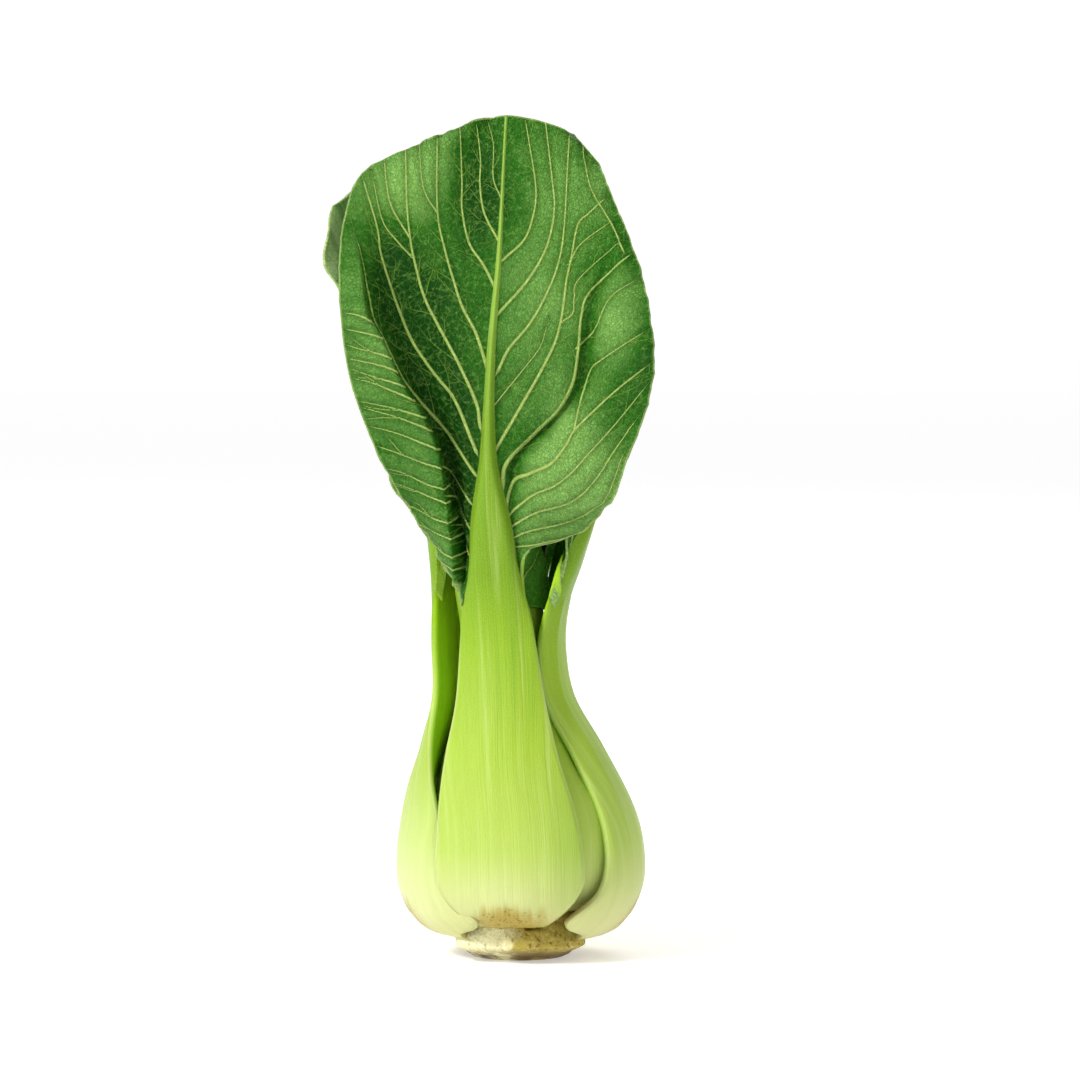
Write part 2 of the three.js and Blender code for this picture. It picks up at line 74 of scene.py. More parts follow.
# Heights between which a leaf turns to its azimuth at the neck, and from there to the one at the tip
TURNS_TO_NECK = (32, 66)
TURNS_TO_TIP = (90, 135)

# Veins in millimetres: half widths, steps along them, and how they shape the blade
MAIN_VEIN = 0.42
FLAP_VEIN = 0.26
FLAP_FORK = 0.15
FORK = 0.17
TWIG = 0.11
LEAST_VEIN = 0.02
PAST_END_SHARE = 0.02
VEIN_STEP = 0.4
SAMPLE_STEP = 0.3
FORK_SPACING = 5.6
TWIG_LENGTH = 3.5
VEIN_FADE = 1.5
VEIN_RIDGE = 0.34
QUILT_DEPTH = 0.42
QUILT_WIDTH = 1.9
THIN_RIDGE = 0.1
THIN_QUILT_DEPTH = 0.12
THIN_QUILT_WIDTH = 0.9
FLUTE_HEIGHT = 0.07
NO_VEIN = 9

# How many places stand for a smooth curve where it is read as a table
SPINE_TICKS = 400
MARGIN_TICKS = 200
VEIN_TICKS = 90

# The midrib's width above the neck: share of the way to the tip, share of the stalk's width there
RIB_WIDTHS = [
    (0, 1), (0.05, 0.87), (0.126, 0.7), (0.188, 0.53), (0.25, 0.34), (0.3, 0.225), (0.417, 0.135),
    (0.574, 0.09), (0.713, 0.058), (0.83, 0.03), (1, 0.02),
]

# How far the head's middle line leans sideways: height, x
LEAN = [
    (0, 0), (30, 0), (49, -2), (61, -2.6), (85, -4.3),
    (105, -5.4), (120, -5.6), (144, -4.4), (167, -2.3), (200, -0.8),
]

# Stalks from the root to the neck: distance from the middle line, height, half width, thickness
FRONT_STALK = [
    (7, 12.6, 5, 4), (13, 10.2, 6, 5), (18, 9, 7, 5.6), (22.6, 9.5, 8.4, 6), (26.2, 11.4, 11, 6.2),
    (28.9, 14.2, 14.4, 6.5), (30.6, 17.6, 17.2, 6.8), (31.4, 21.4, 18.9, 6.9), (31.6, 28, 18.5, 6.8),
    (29.9, 38, 17, 6.5), (26, 50, 14, 6.1), (21.4, 62, 11.2, 5.7), (18, 73, 9.8, 5.3),
    (16.2, 84, 8.5, 4.9),
]
OUTER_STALK = [
    (7, 12.5, 8, 4), (11, 9.2, 12, 5), (14.5, 6.6, 13, 5.5), (19, 5.2, 16.5, 6), (23.5, 6.9, 21, 6.3),
    (25.6, 9, 28.6, 6.5), (27.3, 11.2, 31, 6.6), (29.4, 17, 26.2, 6.8), (29.8, 23, 24, 6.8),
    (28.8, 31, 22.4, 6.5), (26.3, 39.5, 20, 6.2), (21.7, 50.5, 16.6, 5.8), (17.2, 62, 13, 5.4),
    (14.9, 74, 10.4, 5), (16, 84, 9.2, 4.6),
]
# The necks of the right and left stalks, in place of the last three rows above
RIGHT_NECK = [(15.8, 62, 13.4, 5.4), (14.6, 74, 12, 5), (16.2, 84, 10.6, 4.6)]
LEFT_NECK = [(18.5, 62, 14, 5.4), (17.8, 74, 13.6, 5), (17.1, 84, 12.2, 4.6)]
SECOND_STALK = [
    (7, 14.5, 5, 4), (13, 12.6, 7, 4.6), (18.5, 12.2, 9, 5), (22.8, 14.6, 11.5, 5), (25.3, 18.5, 13.4, 5),
    (26.3, 24, 14.4, 5), (26, 31, 14.4, 4.9), (24, 39, 13.2, 4.7), (19.6, 48, 11.4, 4.4),
    (15.4, 57, 9.4, 4.1), (12.8, 66, 8, 3.8), (11.2, 75, 7, 3.6), (10.8, 82, 6.4, 3.4),
]
INNER_STALK = [
    (6, 15.5, 6, 3.5), (10, 14.2, 10, 4), (14.5, 13.6, 13.5, 4.5), (18.6, 16, 15, 4.8),
    (20.8, 20.8, 15.4, 4.8), (21.4, 27, 15, 4.6), (20.2, 36, 13.6, 4.3), (17, 46, 11.4, 4),
    (13.6, 56, 9.2, 3.7), (11.2, 67, 7.2, 3.4), (10.4, 78, 6, 3.2),
]
HEART_STALK = [
    (3.5, 18.5, 4, 2.6), (7.5, 19, 6.5, 3), (10.8, 22, 8.4, 3.2), (12, 28, 8.6, 3.2), (11.2, 37, 7.6, 3),
    (8.8, 48, 6.2, 2.8), (6.8, 58, 4.8, 2.6), (6, 67, 4, 2.4),
]

# Blade outlines: midrib, left reach, left, right reach, right. Reaches are sideways from the midrib,
# and the other numbers are shares of the way from the neck to the tip.
FRONT_BLADE = [
    (0.02, 8.9, 0, 7, 0.09), (0.12, 12.3, 0.044, 10, 0.118), (0.23, 17, 0.12, 20, 0.14),
    (0.315, 21.5, 0.227, 27, 0.195), (0.41, 27, 0.34, 32, 0.28), (0.507, 32.5, 0.47, 36.5, 0.384),
    (0.6, 36, 0.62, 38.6, 0.507), (0.7, 37, 0.733, 35.5, 0.638), (0.795, 35.8, 0.82, 30, 0.75),
    (0.88, 33, 0.88, 25, 0.84), (0.945, 26.5, 0.918, 21.5, 0.905), (1, 14, 0.962, 15.5, 0.967),
]
COMMON_BLADE = [
    (0.02, 0.36, 0, 0.36, 0), (0.12, 0.46, 0.06, 0.44, 0.07), (0.24, 0.64, 0.16, 0.62, 0.18),
    (0.36, 0.8, 0.29, 0.8, 0.3), (0.48, 0.92, 0.43, 0.93, 0.42), (0.6, 1, 0.57, 1, 0.55),
    (0.72, 0.99, 0.71, 0.97, 0.68), (0.82, 0.92, 0.83, 0.9, 0.8), (0.91, 0.78, 0.91, 0.76, 0.89),
    (1, 0.54, 0.965, 0.54, 0.955),
]

# The second blade hangs out to the right at its base.
SECOND_BLADE = [
    (0.02, 0.36, 0, 0.9, 0), (0.12, 0.46, 0.06, 0.96, 0.06), (0.24, 0.64, 0.16, 0.96, 0.16),
    *COMMON_BLADE[3:],
]
# The right blade reaches less far to the front at its base, and farther round the back.
RIGHT_BLADE = [
    (0.02, 0.5, 0, 0.66, 0), (0.12, 0.38, 0.06, 0.72, 0.07), (0.24, 0.44, 0.16, 0.78, 0.18),
    (0.36, 0.62, 0.29, 0.86, 0.3), (0.48, 0.82, 0.43, 0.94, 0.42), *COMMON_BLADE[5:],
]

# Folds of the front blade: share of the way from the neck to the tip, distance from the midrib. The sizes
# after them are how far its waves stand off the smooth sheet, in millimetres.
LEFT_FOLD = [
    (0, 12.2), (0.11, 11.4), (0.22, 11.6), (0.317, 13.1), (0.404, 17.5), (0.46, 21.8), (0.55, 26.9),
    (0.61, 31.6), (0.7, 33.2), (0.82, 35),
]
RIGHT_FOLD = [
    (0.2, 3.2), (0.27, 4.2), (0.31, 6), (0.34, 9), (0.38, 14), (0.43, 18.2), (0.483, 20.4), (0.56, 20.8),
    (0.63, 21.6), (0.7, 24),
]
HOLLOW_DEPTH = 5.2
LEFT_CREST = 3.4
RIGHT_DIP = 2.4
RIGHT_SWELL = 3.8
LOBE_LIFT = 3.4
TIP_FLARE = 4
VALLEY_DEPTH = 1.3
LEFT_RISE = 1.5
FOLD_PULL = 1.5
RIGHT_RIDGE = 0.8
TOP_CURL = 1.6
RIM_CURL = 1.5
RIPPLE_HEIGHT = 0.35

# Painted light and shade on the leaves as seen from the front, for lit and shaded areas and sheen: x,
# height, half sizes, how much lighter. A wave that stands off by the millimetres below makes the blade
# lighter by 1: painted light on its crests, painted shade in its hollows.
WAVE_PER_PAINTED_LIGHT = 5
FRONT_PAINTED_LIGHT = [
    (-27, 185, 11, 10, 1), (-8, 182, 6, 14, -1.1), (5, 156, 9, 20, 0.75), (22, 134, 8, 11, -0.9),
    (15, 110, 9, 6, 0.5), (12, 186, 8, 10, 0.6), (-20, 143, 9, 17, -0.9), (-28, 160, 5, 13, -0.8),
    (-14, 120, 5, 14, -1.2), (-13, 158, 6, 16, -0.15), (26, 150, 6, 9, 0.2), (20, 186, 3.4, 12, 0.9),
    (-12, 100, 4.5, 12, -1.2), (30, 145, 4, 6, -0.6), (15, 32, 8, 22, -0.8), (-6, 17, 12, 7, 0.2),
    (9.7, 131, 4, 6, 0.8), (-38, 158, 5, 10, -0.2), (-29, 124, 7, 14, -0.3),
]
# Painted light on the left leaf's tip and bulb, painted shade above its tip and on the right leaf's bulb
LEFT_PAINTED_LIGHT = [(-46.5, 168, 6.5, 12, 3.2), (-45, 187, 12, 4, -0.8), (-26, 22, 10, 18, 0.34)]
RIGHT_PAINTED_LIGHT = [(24, 50, 12, 22, -0.6)]

# Main veins of the front blade as they look from the front: half width, then x and height of points
FRONT_VEINS = [
    (0.22, [(-4, 179.5), (-5.9, 184.4), (-5.9, 192), (-7.3, 198)]),
    (0.34, [(-4.1, 168.8), (-7.9, 176), (-9, 182.7), (-8.9, 188.8), (-9.7, 197)]),
    (0.4, [(-5.6, 159.1), (-8.2, 164.2), (-11.5, 169.3), (-13.1, 177), (-13.1, 183.7), (-13.5, 197)]),
    (0.46, [(-7.7, 141.1), (-10, 148.3), (-13.1, 154.4), (-15.1, 160.6), (-17.2, 168.3), (-18.7, 177),
            (-18.7, 194)]),
    (0.24, [(-18.6, 176), (-21.9, 182.2), (-23, 194)]),
    (0.5, [(-9.2, 127), (-10, 131.8), (-14.1, 141.1), (-18.7, 149.8), (-21.8, 156.5), (-23.9, 164.7),
           (-24.9, 170.3), (-25.7, 178.6), (-26, 192)]),
    (0.26, [(-24.1, 165.4), (-27.9, 169.7), (-31.2, 174.5), (-33.4, 184)]),
    (0.28, [(-25.2, 170.8), (-29, 177.3), (-30.3, 182.8), (-30.9, 190)]),
    (0.5, [(-10.4, 121), (-14.9, 131.8), (-19.7, 138), (-24.4, 145.2), (-27.4, 152.9), (-29, 158),
           (-31.5, 166.8), (-32.4, 172.9), (-35.6, 184)]),
    (0.46, [(-10.9, 115.5), (-16.7, 123.5), (-21.1, 129), (-25.6, 135), (-28.6, 139.9), (-32.6, 148.4),
            (-34.5, 158), (-37.5, 170)]),
    (0.36, [(-12.2, 108.6), (-16, 113), (-19.6, 117.5)]),
    (0.34, [(-12.4, 102), (-15.5, 106), (-18.9, 110.6)]),
    (0.3, [(-12.6, 95), (-15, 98.4), (-17.7, 102.8)]),
    (0.34, [(-3.1, 165.9), (1.4, 170.3), (3.6, 176.8), (3.9, 182.8), (2.5, 192), (1.5, 198)]),
    (0.42, [(-4.3, 153.4), (1.9, 160.5), (6.3, 168.1), (8.2, 176.8), (7.6, 184.9), (6, 198.5)]),
    (0.44, [(-4.6, 140.1), (-2.3, 144.7), (2.3, 150.3), (5.9, 156.5), (9, 164.2), (10.5, 173.4),
            (11.6, 195)]),
    (0.2, [(-5.2, 132), (0.8, 139.6), (4.8, 145), (6.4, 150)]),
    (0.46, [(-5.4, 121), (0.8, 131.8), (5.4, 140.1), (8.5, 146.7), (10, 152.9), (11, 160.6), (12.1, 165.7),
            (13.6, 173.5), (16.1, 176.2), (20, 180)]),
    (0.26, [(11.8, 165), (14.4, 169.2), (21.4, 174.5)]),
    (0.26, [(9.9, 151), (12.4, 153), (12.8, 156.7), (13.9, 161), (23.6, 170)]),
    (0.6, [(-4, 112), (-2.9, 117.7), (4.1, 125.2), (9, 130.2), (12.3, 136.6), (13.6, 144.2), (14.4, 152.4),
           (16.6, 158.3), (26, 167)]),
    (0.26, [(13.4, 145), (17.7, 149.6), (21.5, 156.7), (27.5, 161)]),
    (0.5, [(-3.5, 103.6), (-1.7, 112.5), (2.8, 116), (8.3, 119), (11.7, 123), (13.7, 126.5), (18.7, 131.5),
           (23.7, 136), (30, 141)]),
    (0.34, [(13.6, 126.5), (14.7, 134), (16.6, 139.9), (20.4, 143.1), (29.5, 149)]),
    (0.34, [(-2.8, 104.5), (3, 110.6), (9, 114), (15, 119), (22, 126.5), (29.5, 136)]),
    (0.34, [(-2, 102), (3.8, 106.4), (12.2, 109.8), (19.2, 116.5), (27.5, 128.5)]),
    (0.3, [(-1.2, 99.6), (2.8, 101.8), (12.2, 104.6), (19.5, 109.6), (25, 121)]),
    (0.26, [(-1, 97.5), (6, 99), (13, 101), (21, 108)]),
    (0.24, [(23.7, 168.5), (20.8, 174.7), (16.8, 181.5), (15.1, 188.2), (14, 193.9), (11.6, 197.6)]),
]


def mix(a, b, t):
    return a + (b - a) * t


def smoothstep(low, high, x):
    t = np.clip((np.asarray(x, float) - low) / (high - low), 0, 1)
    return t * t * (3 - 2 * t)


def bell(x, middle, width):
    """1 at the middle, falling off smoothly on both sides."""
    return np.exp(-(((x - middle) / width) ** 2))


def track(knots, rows):
    """A smooth curve through rows of numbers: knots[i] is where row i sits along it."""
    knots = np.asarray(knots, float)
    rows = np.asarray(rows, float)
    last = len(knots) - 1
    before = np.maximum(np.arange(last + 1) - 1, 0)
    after = np.minimum(np.arange(last + 1) + 1, last)
    slope = (rows[after] - rows[before]) / (knots[after] - knots[before])[:, None]

    def at(x):
        x = np.clip(np.asarray(x, float), knots[0], knots[-1])
        i = np.clip(np.searchsorted(knots, x, side="right") - 1, 0, last - 1)
        span = knots[i + 1] - knots[i]
        t = (x - knots[i]) / span
        t, span = t[..., None], span[..., None]
        from_here = (2 * t**3 - 3 * t**2 + 1) * rows[i] + (t**3 - 2 * t**2 + t) * span * slope[i]
        to_next = (3 * t**2 - 2 * t**3) * rows[i + 1] + (t**3 - t**2) * span * slope[i + 1]
        return from_here + to_next

    return at


def track_of(rows):
    """A smooth curve of one value through rows of (where, value)."""
    curve = track([row[0] for row in rows], [[row[1]] for row in rows])
    return lambda x: curve(x)[..., 0]


lean_at = track_of(LEAN)
rib_width = track_of(RIB_WIDTHS)
left_fold = track_of(LEFT_FOLD)
right_fold = track_of(RIGHT_FOLD)


class LeafForm:
    """The smooth form of a leaf. along is the distance up its spine, across is sideways from it."""

    def __init__(self, leaf):
        self.leaf = leaf
        stalk, crown = leaf["stalk"], leaf["crown"]
        spine = np.array([row[:2] for row in stalk] + list(crown), float)
        steps = np.hypot(*np.diff(spine, axis=0).T)
        knots = np.concatenate([[0], np.cumsum(steps)])
        self.neck = knots[len(stalk) - 1]
        self.tip = knots[-1]
        self.length = self.tip - self.neck
        self.place = track(knots, spine)
        self.section = track(knots[: len(stalk)], [row[2:] for row in stalk])
        self.outline = track(range(len(leaf["blade"])), leaf["blade"])

    def share(self, along):
        return (along - self.neck) / self.length

    def along(self, share):
        return mix(self.neck, self.tip, share)

    def half_width(self, along):
        half = self.section(along)[..., 0]
        f = self.share(along)
        return np.where(f <= 0, half, np.maximum(half * rib_width(f), RIB_LEAST_HALF_WIDTH))

    def thickness(self, along):
        thick = self.section(along)[..., 1]
        left = (1 - np.clip(self.share(along), 0, 1)) ** RIB_TAPER
        return np.where(self.share(along) <= 0, thick, mix(RIB_TIP_THICKNESS, thick, left))

    def azimuth(self, height):
        low, neck, high = self.leaf["azimuth"]
        first = mix(low, neck, smoothstep(*TURNS_TO_NECK, height))
        return np.radians(mix(first, high, smoothstep(*TURNS_TO_TIP, height)))

    def bend(self, along):
        wrap = 1 / (self.leaf["wrap"] * self.place(along)[..., 0])
        return mix(wrap, self.leaf["cup"], smoothstep(*WRAP_ENDS, self.share(along))) + LEAST_BEND

    def from_front(self, x, z):
        """Leaf coordinates of a place that is seen at x and height z from the front."""
        ticks = np.linspace(self.neck, self.tip, SPINE_TICKS)
        along = np.interp(z, self.place(ticks)[:, 1], ticks)
        turn = self.azimuth(z)
        sideways = (x - lean_at(z) - self.place(along)[..., 0] * np.sin(turn)) / np.cos(turn)
        bend = self.bend(along)
        return np.arcsin(np.clip(bend * sideways, -0.99, 0.99)) / bend, along - self.neck

    def sheet(self, across, along):
        """The smooth sheet that the outer face follows."""
        spine = self.place(along)
        r, z = spine[..., 0], spine[..., 1]
        bend = self.bend(along)
        sideways = np.sin(bend * across) / bend
        outward = r - (1 - np.cos(bend * across)) / bend
        turn = self.azimuth(z)
        x = lean_at(z) + outward * np.sin(turn) + sideways * np.cos(turn)
        y = -outward * np.cos(turn) + sideways * np.sin(turn)
        return np.stack([x, y, z], axis=-1)

    def normal(self, across, along, step=0.05):
        side = self.sheet(across + step, along) - self.sheet(across - step, along)
        up = self.sheet(across, along + step) - self.sheet(across, along - step)
        return unit(np.cross(side, up))

    def rib_offsets(self, u, along):
        """How far the outer and the inner face of the stalk and midrib stand off the sheet."""
        f = self.share(along)
        sunk = smoothstep(*BLADE_SINKS, f)
        thick = self.thickness(along)
        thickest = np.minimum(MARGIN_THICKNESS, MARGIN_SHARE * thick)
        margin = mix(thickest, BLADE_THICKNESS, smoothstep(*MARGIN_THINS, f))
        outer_edge = -sunk * (thick - BLADE_THICKNESS)
        squareness = mix(STALK_SQUARENESS, RIB_SQUARENESS, smoothstep(*RIB_ROUNDS, f))
        outer = mix(outer_edge, RIB_RELIEF * sunk, 1 - np.abs(u) ** squareness)
        inner = mix(outer_edge - margin, -thick, 1 - np.abs(u) ** INNER_SQUARENESS)
        return outer, inner

    def blade_depth(self, f):
        """How far the middle of the blade lies under the sheet."""
        thick = self.thickness(self.along(f))
        return smoothstep(*BLADE_SINKS, f) * (thick - BLADE_THICKNESS) + BLADE_THICKNESS / 2

    def blade_row(self, side, v):
        """The row at v on one side: its share at the midrib, the rib's half width, its reach and its end."""
        rows = self.outline(v * (len(self.leaf["blade"]) - 1))
        mid = rows[..., 0]
        reach, edge = (rows[..., 1], rows[..., 2]) if side < 0 else (rows[..., 3], rows[..., 4])
        half = self.half_width(self.along(mid))
        return mid, half, np.maximum(reach * self.leaf["reach"], half + LEAST_BLADE), edge

    def blade_spot(self, side, w, v):
        """Leaf coordinates of a blade point: w runs from the midrib's edge to the margin, v to the tip."""
        mid, half, reach, edge = self.blade_row(side, v)
        across = side * (half + w * (reach - half))
        return across, mix(mid, edge, w**ROW_BEND), half + 0 * w, reach + 0 * w

    def margin_at(self, side):
        """The blade's margin on one side as a table: share of the length, reach."""
        _, _, reach, edge = self.blade_row(side, np.linspace(0, 1, MARGIN_TICKS))
        order = np.argsort(edge)
        return edge[order], reach[order]


def unit(vectors):
    return vectors / np.maximum(np.linalg.norm(vectors, axis=-1, keepdims=True), 1e-9)


# Waves of the blades: millimetres off the smooth sheet, and millimetres in towards the midrib


def ruffle(height, count, phase):
    def waves(across, w, f, half, reach):
        lag = np.where(across < 0, 0, 1.9)
        big = height * w**2 * np.sin(2 * math.pi * count * f + phase + lag)
        small = 0.22 * height * w**4 * np.sin(2 * math.pi * 3.7 * count * f + 2 * phase + lag)
        return big + small, np.zeros_like(w)

    return waves


def left_waves(across, w, f, half, reach):
    """As a ruffle, with the front edge of the tip flaring outwards."""
    big, inward = ruffle(2.2, 2, 2.6)(across, w, f, half, reach)
    return big + np.where(across > 0, TIP_FLARE * w**2 * smoothstep(0.7, 0.9, f), 0), inward


def front_waves(across, w, f, half, reach):
    """The front blade: its left side folds forward beyond a hollow, and its right lobe swells forward."""
    out = np.abs(across)
    fold = np.maximum(left_fold(f), half + 1)
    t = np.clip((out - half) / (fold - half), 0, 1)
    beyond = np.clip((out - fold) / np.maximum(reach - fold, 1), 0, 1)
    hollow = -HOLLOW_DEPTH * np.sin(math.pi * t**2.4)
    crest = LEFT_CREST * smoothstep(0.72, 1, t) * (1 - 0.5 * beyond)
    fade = smoothstep(0.86, 0.6, f) * smoothstep(0, 0.1, f)
    valley = -VALLEY_DEPTH * bell(w, 0.22, 0.14) * smoothstep(0.6, 0.85, f)
    rise = LEFT_RISE * bell(w, 0.62, 0.24) * smoothstep(0.66, 0.9, f)
    left = (hollow + crest) * fade + valley + rise
    left_in = FOLD_PULL * fade * bell(out, fold, 1.7)

    fold = right_fold(f)
    dip = -RIGHT_DIP * bell(out - fold, 1.6, 2.2)
    ridge = RIGHT_RIDGE * bell(out, fold, 1.2)
    t = np.clip((out - fold - 1) / np.maximum(reach - fold, 4), 0, 1)
    swell = RIGHT_SWELL * np.maximum(np.sin(math.pi * t**0.8), 0) ** 1.2
    lower = smoothstep(0.8, 0.55, f) * smoothstep(0.08, 0.3, f) * smoothstep(0, 0.15, w)
    rim = -RIM_CURL * smoothstep(0.84, 1, w) * smoothstep(0.62, 0.74, f)
    lift = LOBE_LIFT * w * smoothstep(0.04, 0.14, f) * smoothstep(0.44, 0.28, f)
    right = (dip + ridge + swell) * lower + lift - TOP_CURL * smoothstep(0.6, 1, f) * w * w + rim
    ripple = RIPPLE_HEIGHT * w**6 * (np.sin(f * 88) + 0.7 * np.sin(f * 205 + 1))
    return np.where(across < 0, left, right) + ripple, np.where(across < 0, left_in, 0)


# Veins, as curves in leaf coordinates: x sideways from the midrib and y up from the neck, millimetres


class Vein:
    def __init__(self, points, widths):
        self.points = np.asarray(points, float)
        self.widths = np.asarray(widths, float)

    def at(self, t):
        i = t * (len(self.points) - 1)
        low = int(min(math.floor(i), len(self.points) - 2))
        return mix(self.points[low], self.points[low + 1], i - low)

    def heading(self, t):
        step = self.at(min(1, t + 0.02)) - self.at(max(0, t - 0.02))
        return step / max(np.hypot(*step), 1e-6)


def main_vein(form, side, start, reach, end, wander, width):
    """A vein that leaves the midrib steeply, bends outwards, and turns up again towards the margin."""
    t = np.linspace(0, 1, 70)
    half = form.half_width(form.along(start))
    climb = t + 0.5 * np.sin(2 * math.pi * t) / (2 * math.pi)
    x = half * 0.8 + (reach - half * 0.8) * (t + 0.1 * np.sin(2 * math.pi * t) / math.pi)
    y = form.length * mix(start, end, climb)
    phase, size = wander
    sway = size * np.sin(math.pi * t) * np.sin(phase + 5.5 * t)
    return Vein(np.stack([side * (x + sway), y + 0.6 * sway], 1), width * (1 - 0.72 * t**0.8))


def seen_vein(form, points, width):
    """A vein through points that are given as they look from the front."""
    curve = track(range(len(points)), points)(np.linspace(0, len(points) - 1, VEIN_TICKS))
    x, y = form.from_front(curve[:, 0], curve[:, 1])
    side = np.sign(x[VEIN_TICKS // 2 :].mean())
    x = side * np.maximum(side * x, 0)
    return Vein(np.stack([x, y], 1), width * np.linspace(1, 0.42, VEIN_TICKS))


def fold_veins(form, rng):
    """Veins across the left fold of the front blade, rising outwards."""
    veins = []
    shares, reaches = form.margin_at(-1)
    t = np.linspace(0, 1, 40)
    f = 0.03
    while f < 0.62:
        near = float(left_fold(f)) - 0.1
        far = np.interp(f + 0.05, shares, reaches) * 0.97
        width = far - near
        if width > 2.5:
            rise = rng.uniform(0.42, 0.62)
            sway = rng.uniform(-0.35, 0.35) * np.sin(math.pi * t) + rng.uniform(-0.2, 0.2) * np.sin(7 * t)
            y = form.length * f + width * (rise * t - 0.2 * t**2) + sway
            vein = Vein(np.stack([-mix(near, far, t), y], 1), FLAP_VEIN * (1 - 0.55 * t))
            veins.append(vein)
            if rng.random() < 0.6:
                spot = rng.uniform(0.25, 0.6)
                lean = rng.uniform(0.25, 0.45) * rng.choice([-1, 1])
                heading = turned(vein.heading(spot), lean)
                veins.append(side_vein(rng, vein.at(spot), heading, (1 - spot) * width, 0, FLAP_FORK))
        f += rng.uniform(0.026, 0.044)
    return veins


def side_vein(rng, start, heading, length, turn, width, others=None):
    """A thin vein that wanders off from a point and stops where it meets another vein."""
    count = max(5, int(length / VEIN_STEP))
    angle = math.atan2(heading[1], heading[0])
    points = [np.array(start, float)]
    for i in range(count):
        angle += turn / count + rng.normal(0, 0.05)
        points.append(points[-1] + VEIN_STEP * np.array([math.cos(angle), math.sin(angle)]))
        if others and i * VEIN_STEP > 1.5 and others.tree.find((*points[-1], 0))[2] < 0.35:
            break
    return Vein(points, width * np.linspace(1, 0.4, len(points)))


def turned(heading, angle):
    c, s = math.cos(angle), math.sin(angle)
    return heading[0] * c - heading[1] * s, heading[0] * s + heading[1] * c


def side_mains(form, side, rng):
    """The main veins of one side of a leaf: the ones that were seen, or else made by rule."""
    leaf = form.leaf
    if leaf["veins"]:
        seen = [seen_vein(form, points, width) for width, points in leaf["veins"]]
        return [vein for vein in seen if vein.points[-1, 0] * side > 0]
    veins = []
    shares, reaches = form.margin_at(side)
    count = leaf["vein_count"]
    for i in range(count):
        start = 0.74 * (1 - i / count) ** 1.25 + 0.02
        end = min(0.965, start + mix(0.24, 0.12, i / count) + 0.02)
        wander = (rng.uniform(0, 6), rng.uniform(0.2, 0.6) * leaf["vein_scale"])
        reach = 0.94 * np.interp(end, shares, reaches)
        veins.append(main_vein(form, side, start, reach, end, wander, MAIN_VEIN * leaf["vein_scale"]))
    return veins


def grow_veins(form, rng):
    """The main veins and the thinner ones that fork from them."""
    mains, minors = [], []
    scale = form.leaf["vein_scale"]
    for side in (-1, 1):
        own = side_mains(form, side, rng)
        mains += own
        near = VeinSet(own)
        for vein in own:
            size = np.hypot(*np.diff(vein.points, axis=0).T).sum()
            for t in np.arange(0.16, 0.92, FORK_SPACING * scale / size) + rng.uniform(-0.03, 0.03):
                outwards = side if rng.random() < 0.75 else -side
                heading = turned(vein.heading(t), -outwards * rng.uniform(0.45, 0.7))
                turn = rng.uniform(0.1, 0.5) * outwards
                length = rng.uniform(5, 14) * scale
                fork = side_vein(rng, vein.at(t), heading, length, turn, FORK * scale, near)
                minors.append(fork)
                for spot in (0.3, 0.6):
                    lean = rng.choice([-1, 1]) * rng.uniform(0.5, 0.9)
                    heading = turned(fork.heading(spot), lean)
                    length = TWIG_LENGTH * scale
                    minors.append(side_vein(rng, fork.at(spot), heading, length, 0.4, TWIG * scale, near))
    if form.leaf["veins"]:
        mains += fold_veins(form, rng)
    return mains, minors


class VeinSet:
    """The nearest vein to any place: samples of all the curves with their direction and width."""

    def __init__(self, veins):
        places, headings, widths = [], [], []
        for vein in veins:
            steps = np.hypot(*np.diff(vein.points, axis=0).T)
            at = np.concatenate([[0], np.cumsum(steps)])
            ticks = np.arange(0, at[-1], SAMPLE_STEP)
            x = np.interp(ticks, at, vein.points[:, 0])
            y = np.interp(ticks, at, vein.points[:, 1])
            places.append(np.stack([x, y], 1))
            headings.append(unit(np.stack([np.gradient(x), np.gradient(y)], 1)))
            ends = np.minimum(1, (at[-1] - ticks) / VEIN_FADE)
            widths.append(np.interp(ticks, at, vein.widths) * ends)
        self.places = np.concatenate(places)
        self.headings = np.concatenate(headings)
        self.widths = np.concatenate(widths)
        self.tree = KDTree(len(self.places))
        for i, (x, y) in enumerate(self.places):
            self.tree.insert((x, y, 0), i)
        self.tree.balance()

    def nearest(self, spots):
        return np.array([self.tree.find((x, y, 0))[1] for x, y in spots])

    def signed(self, spots, picks):
        """Distance from the line of the picked sample, signed by side, and the vein's half width there."""
        away = spots - self.places[picks]
        heading = self.headings[picks]
        past_end = np.abs((away * heading).sum(-1))
        width = self.widths[picks] * np.clip(2 - past_end, PAST_END_SHARE, 1)
        return away[..., 0] * heading[..., 1] - away[..., 1] * heading[..., 0], width


# Building a leaf


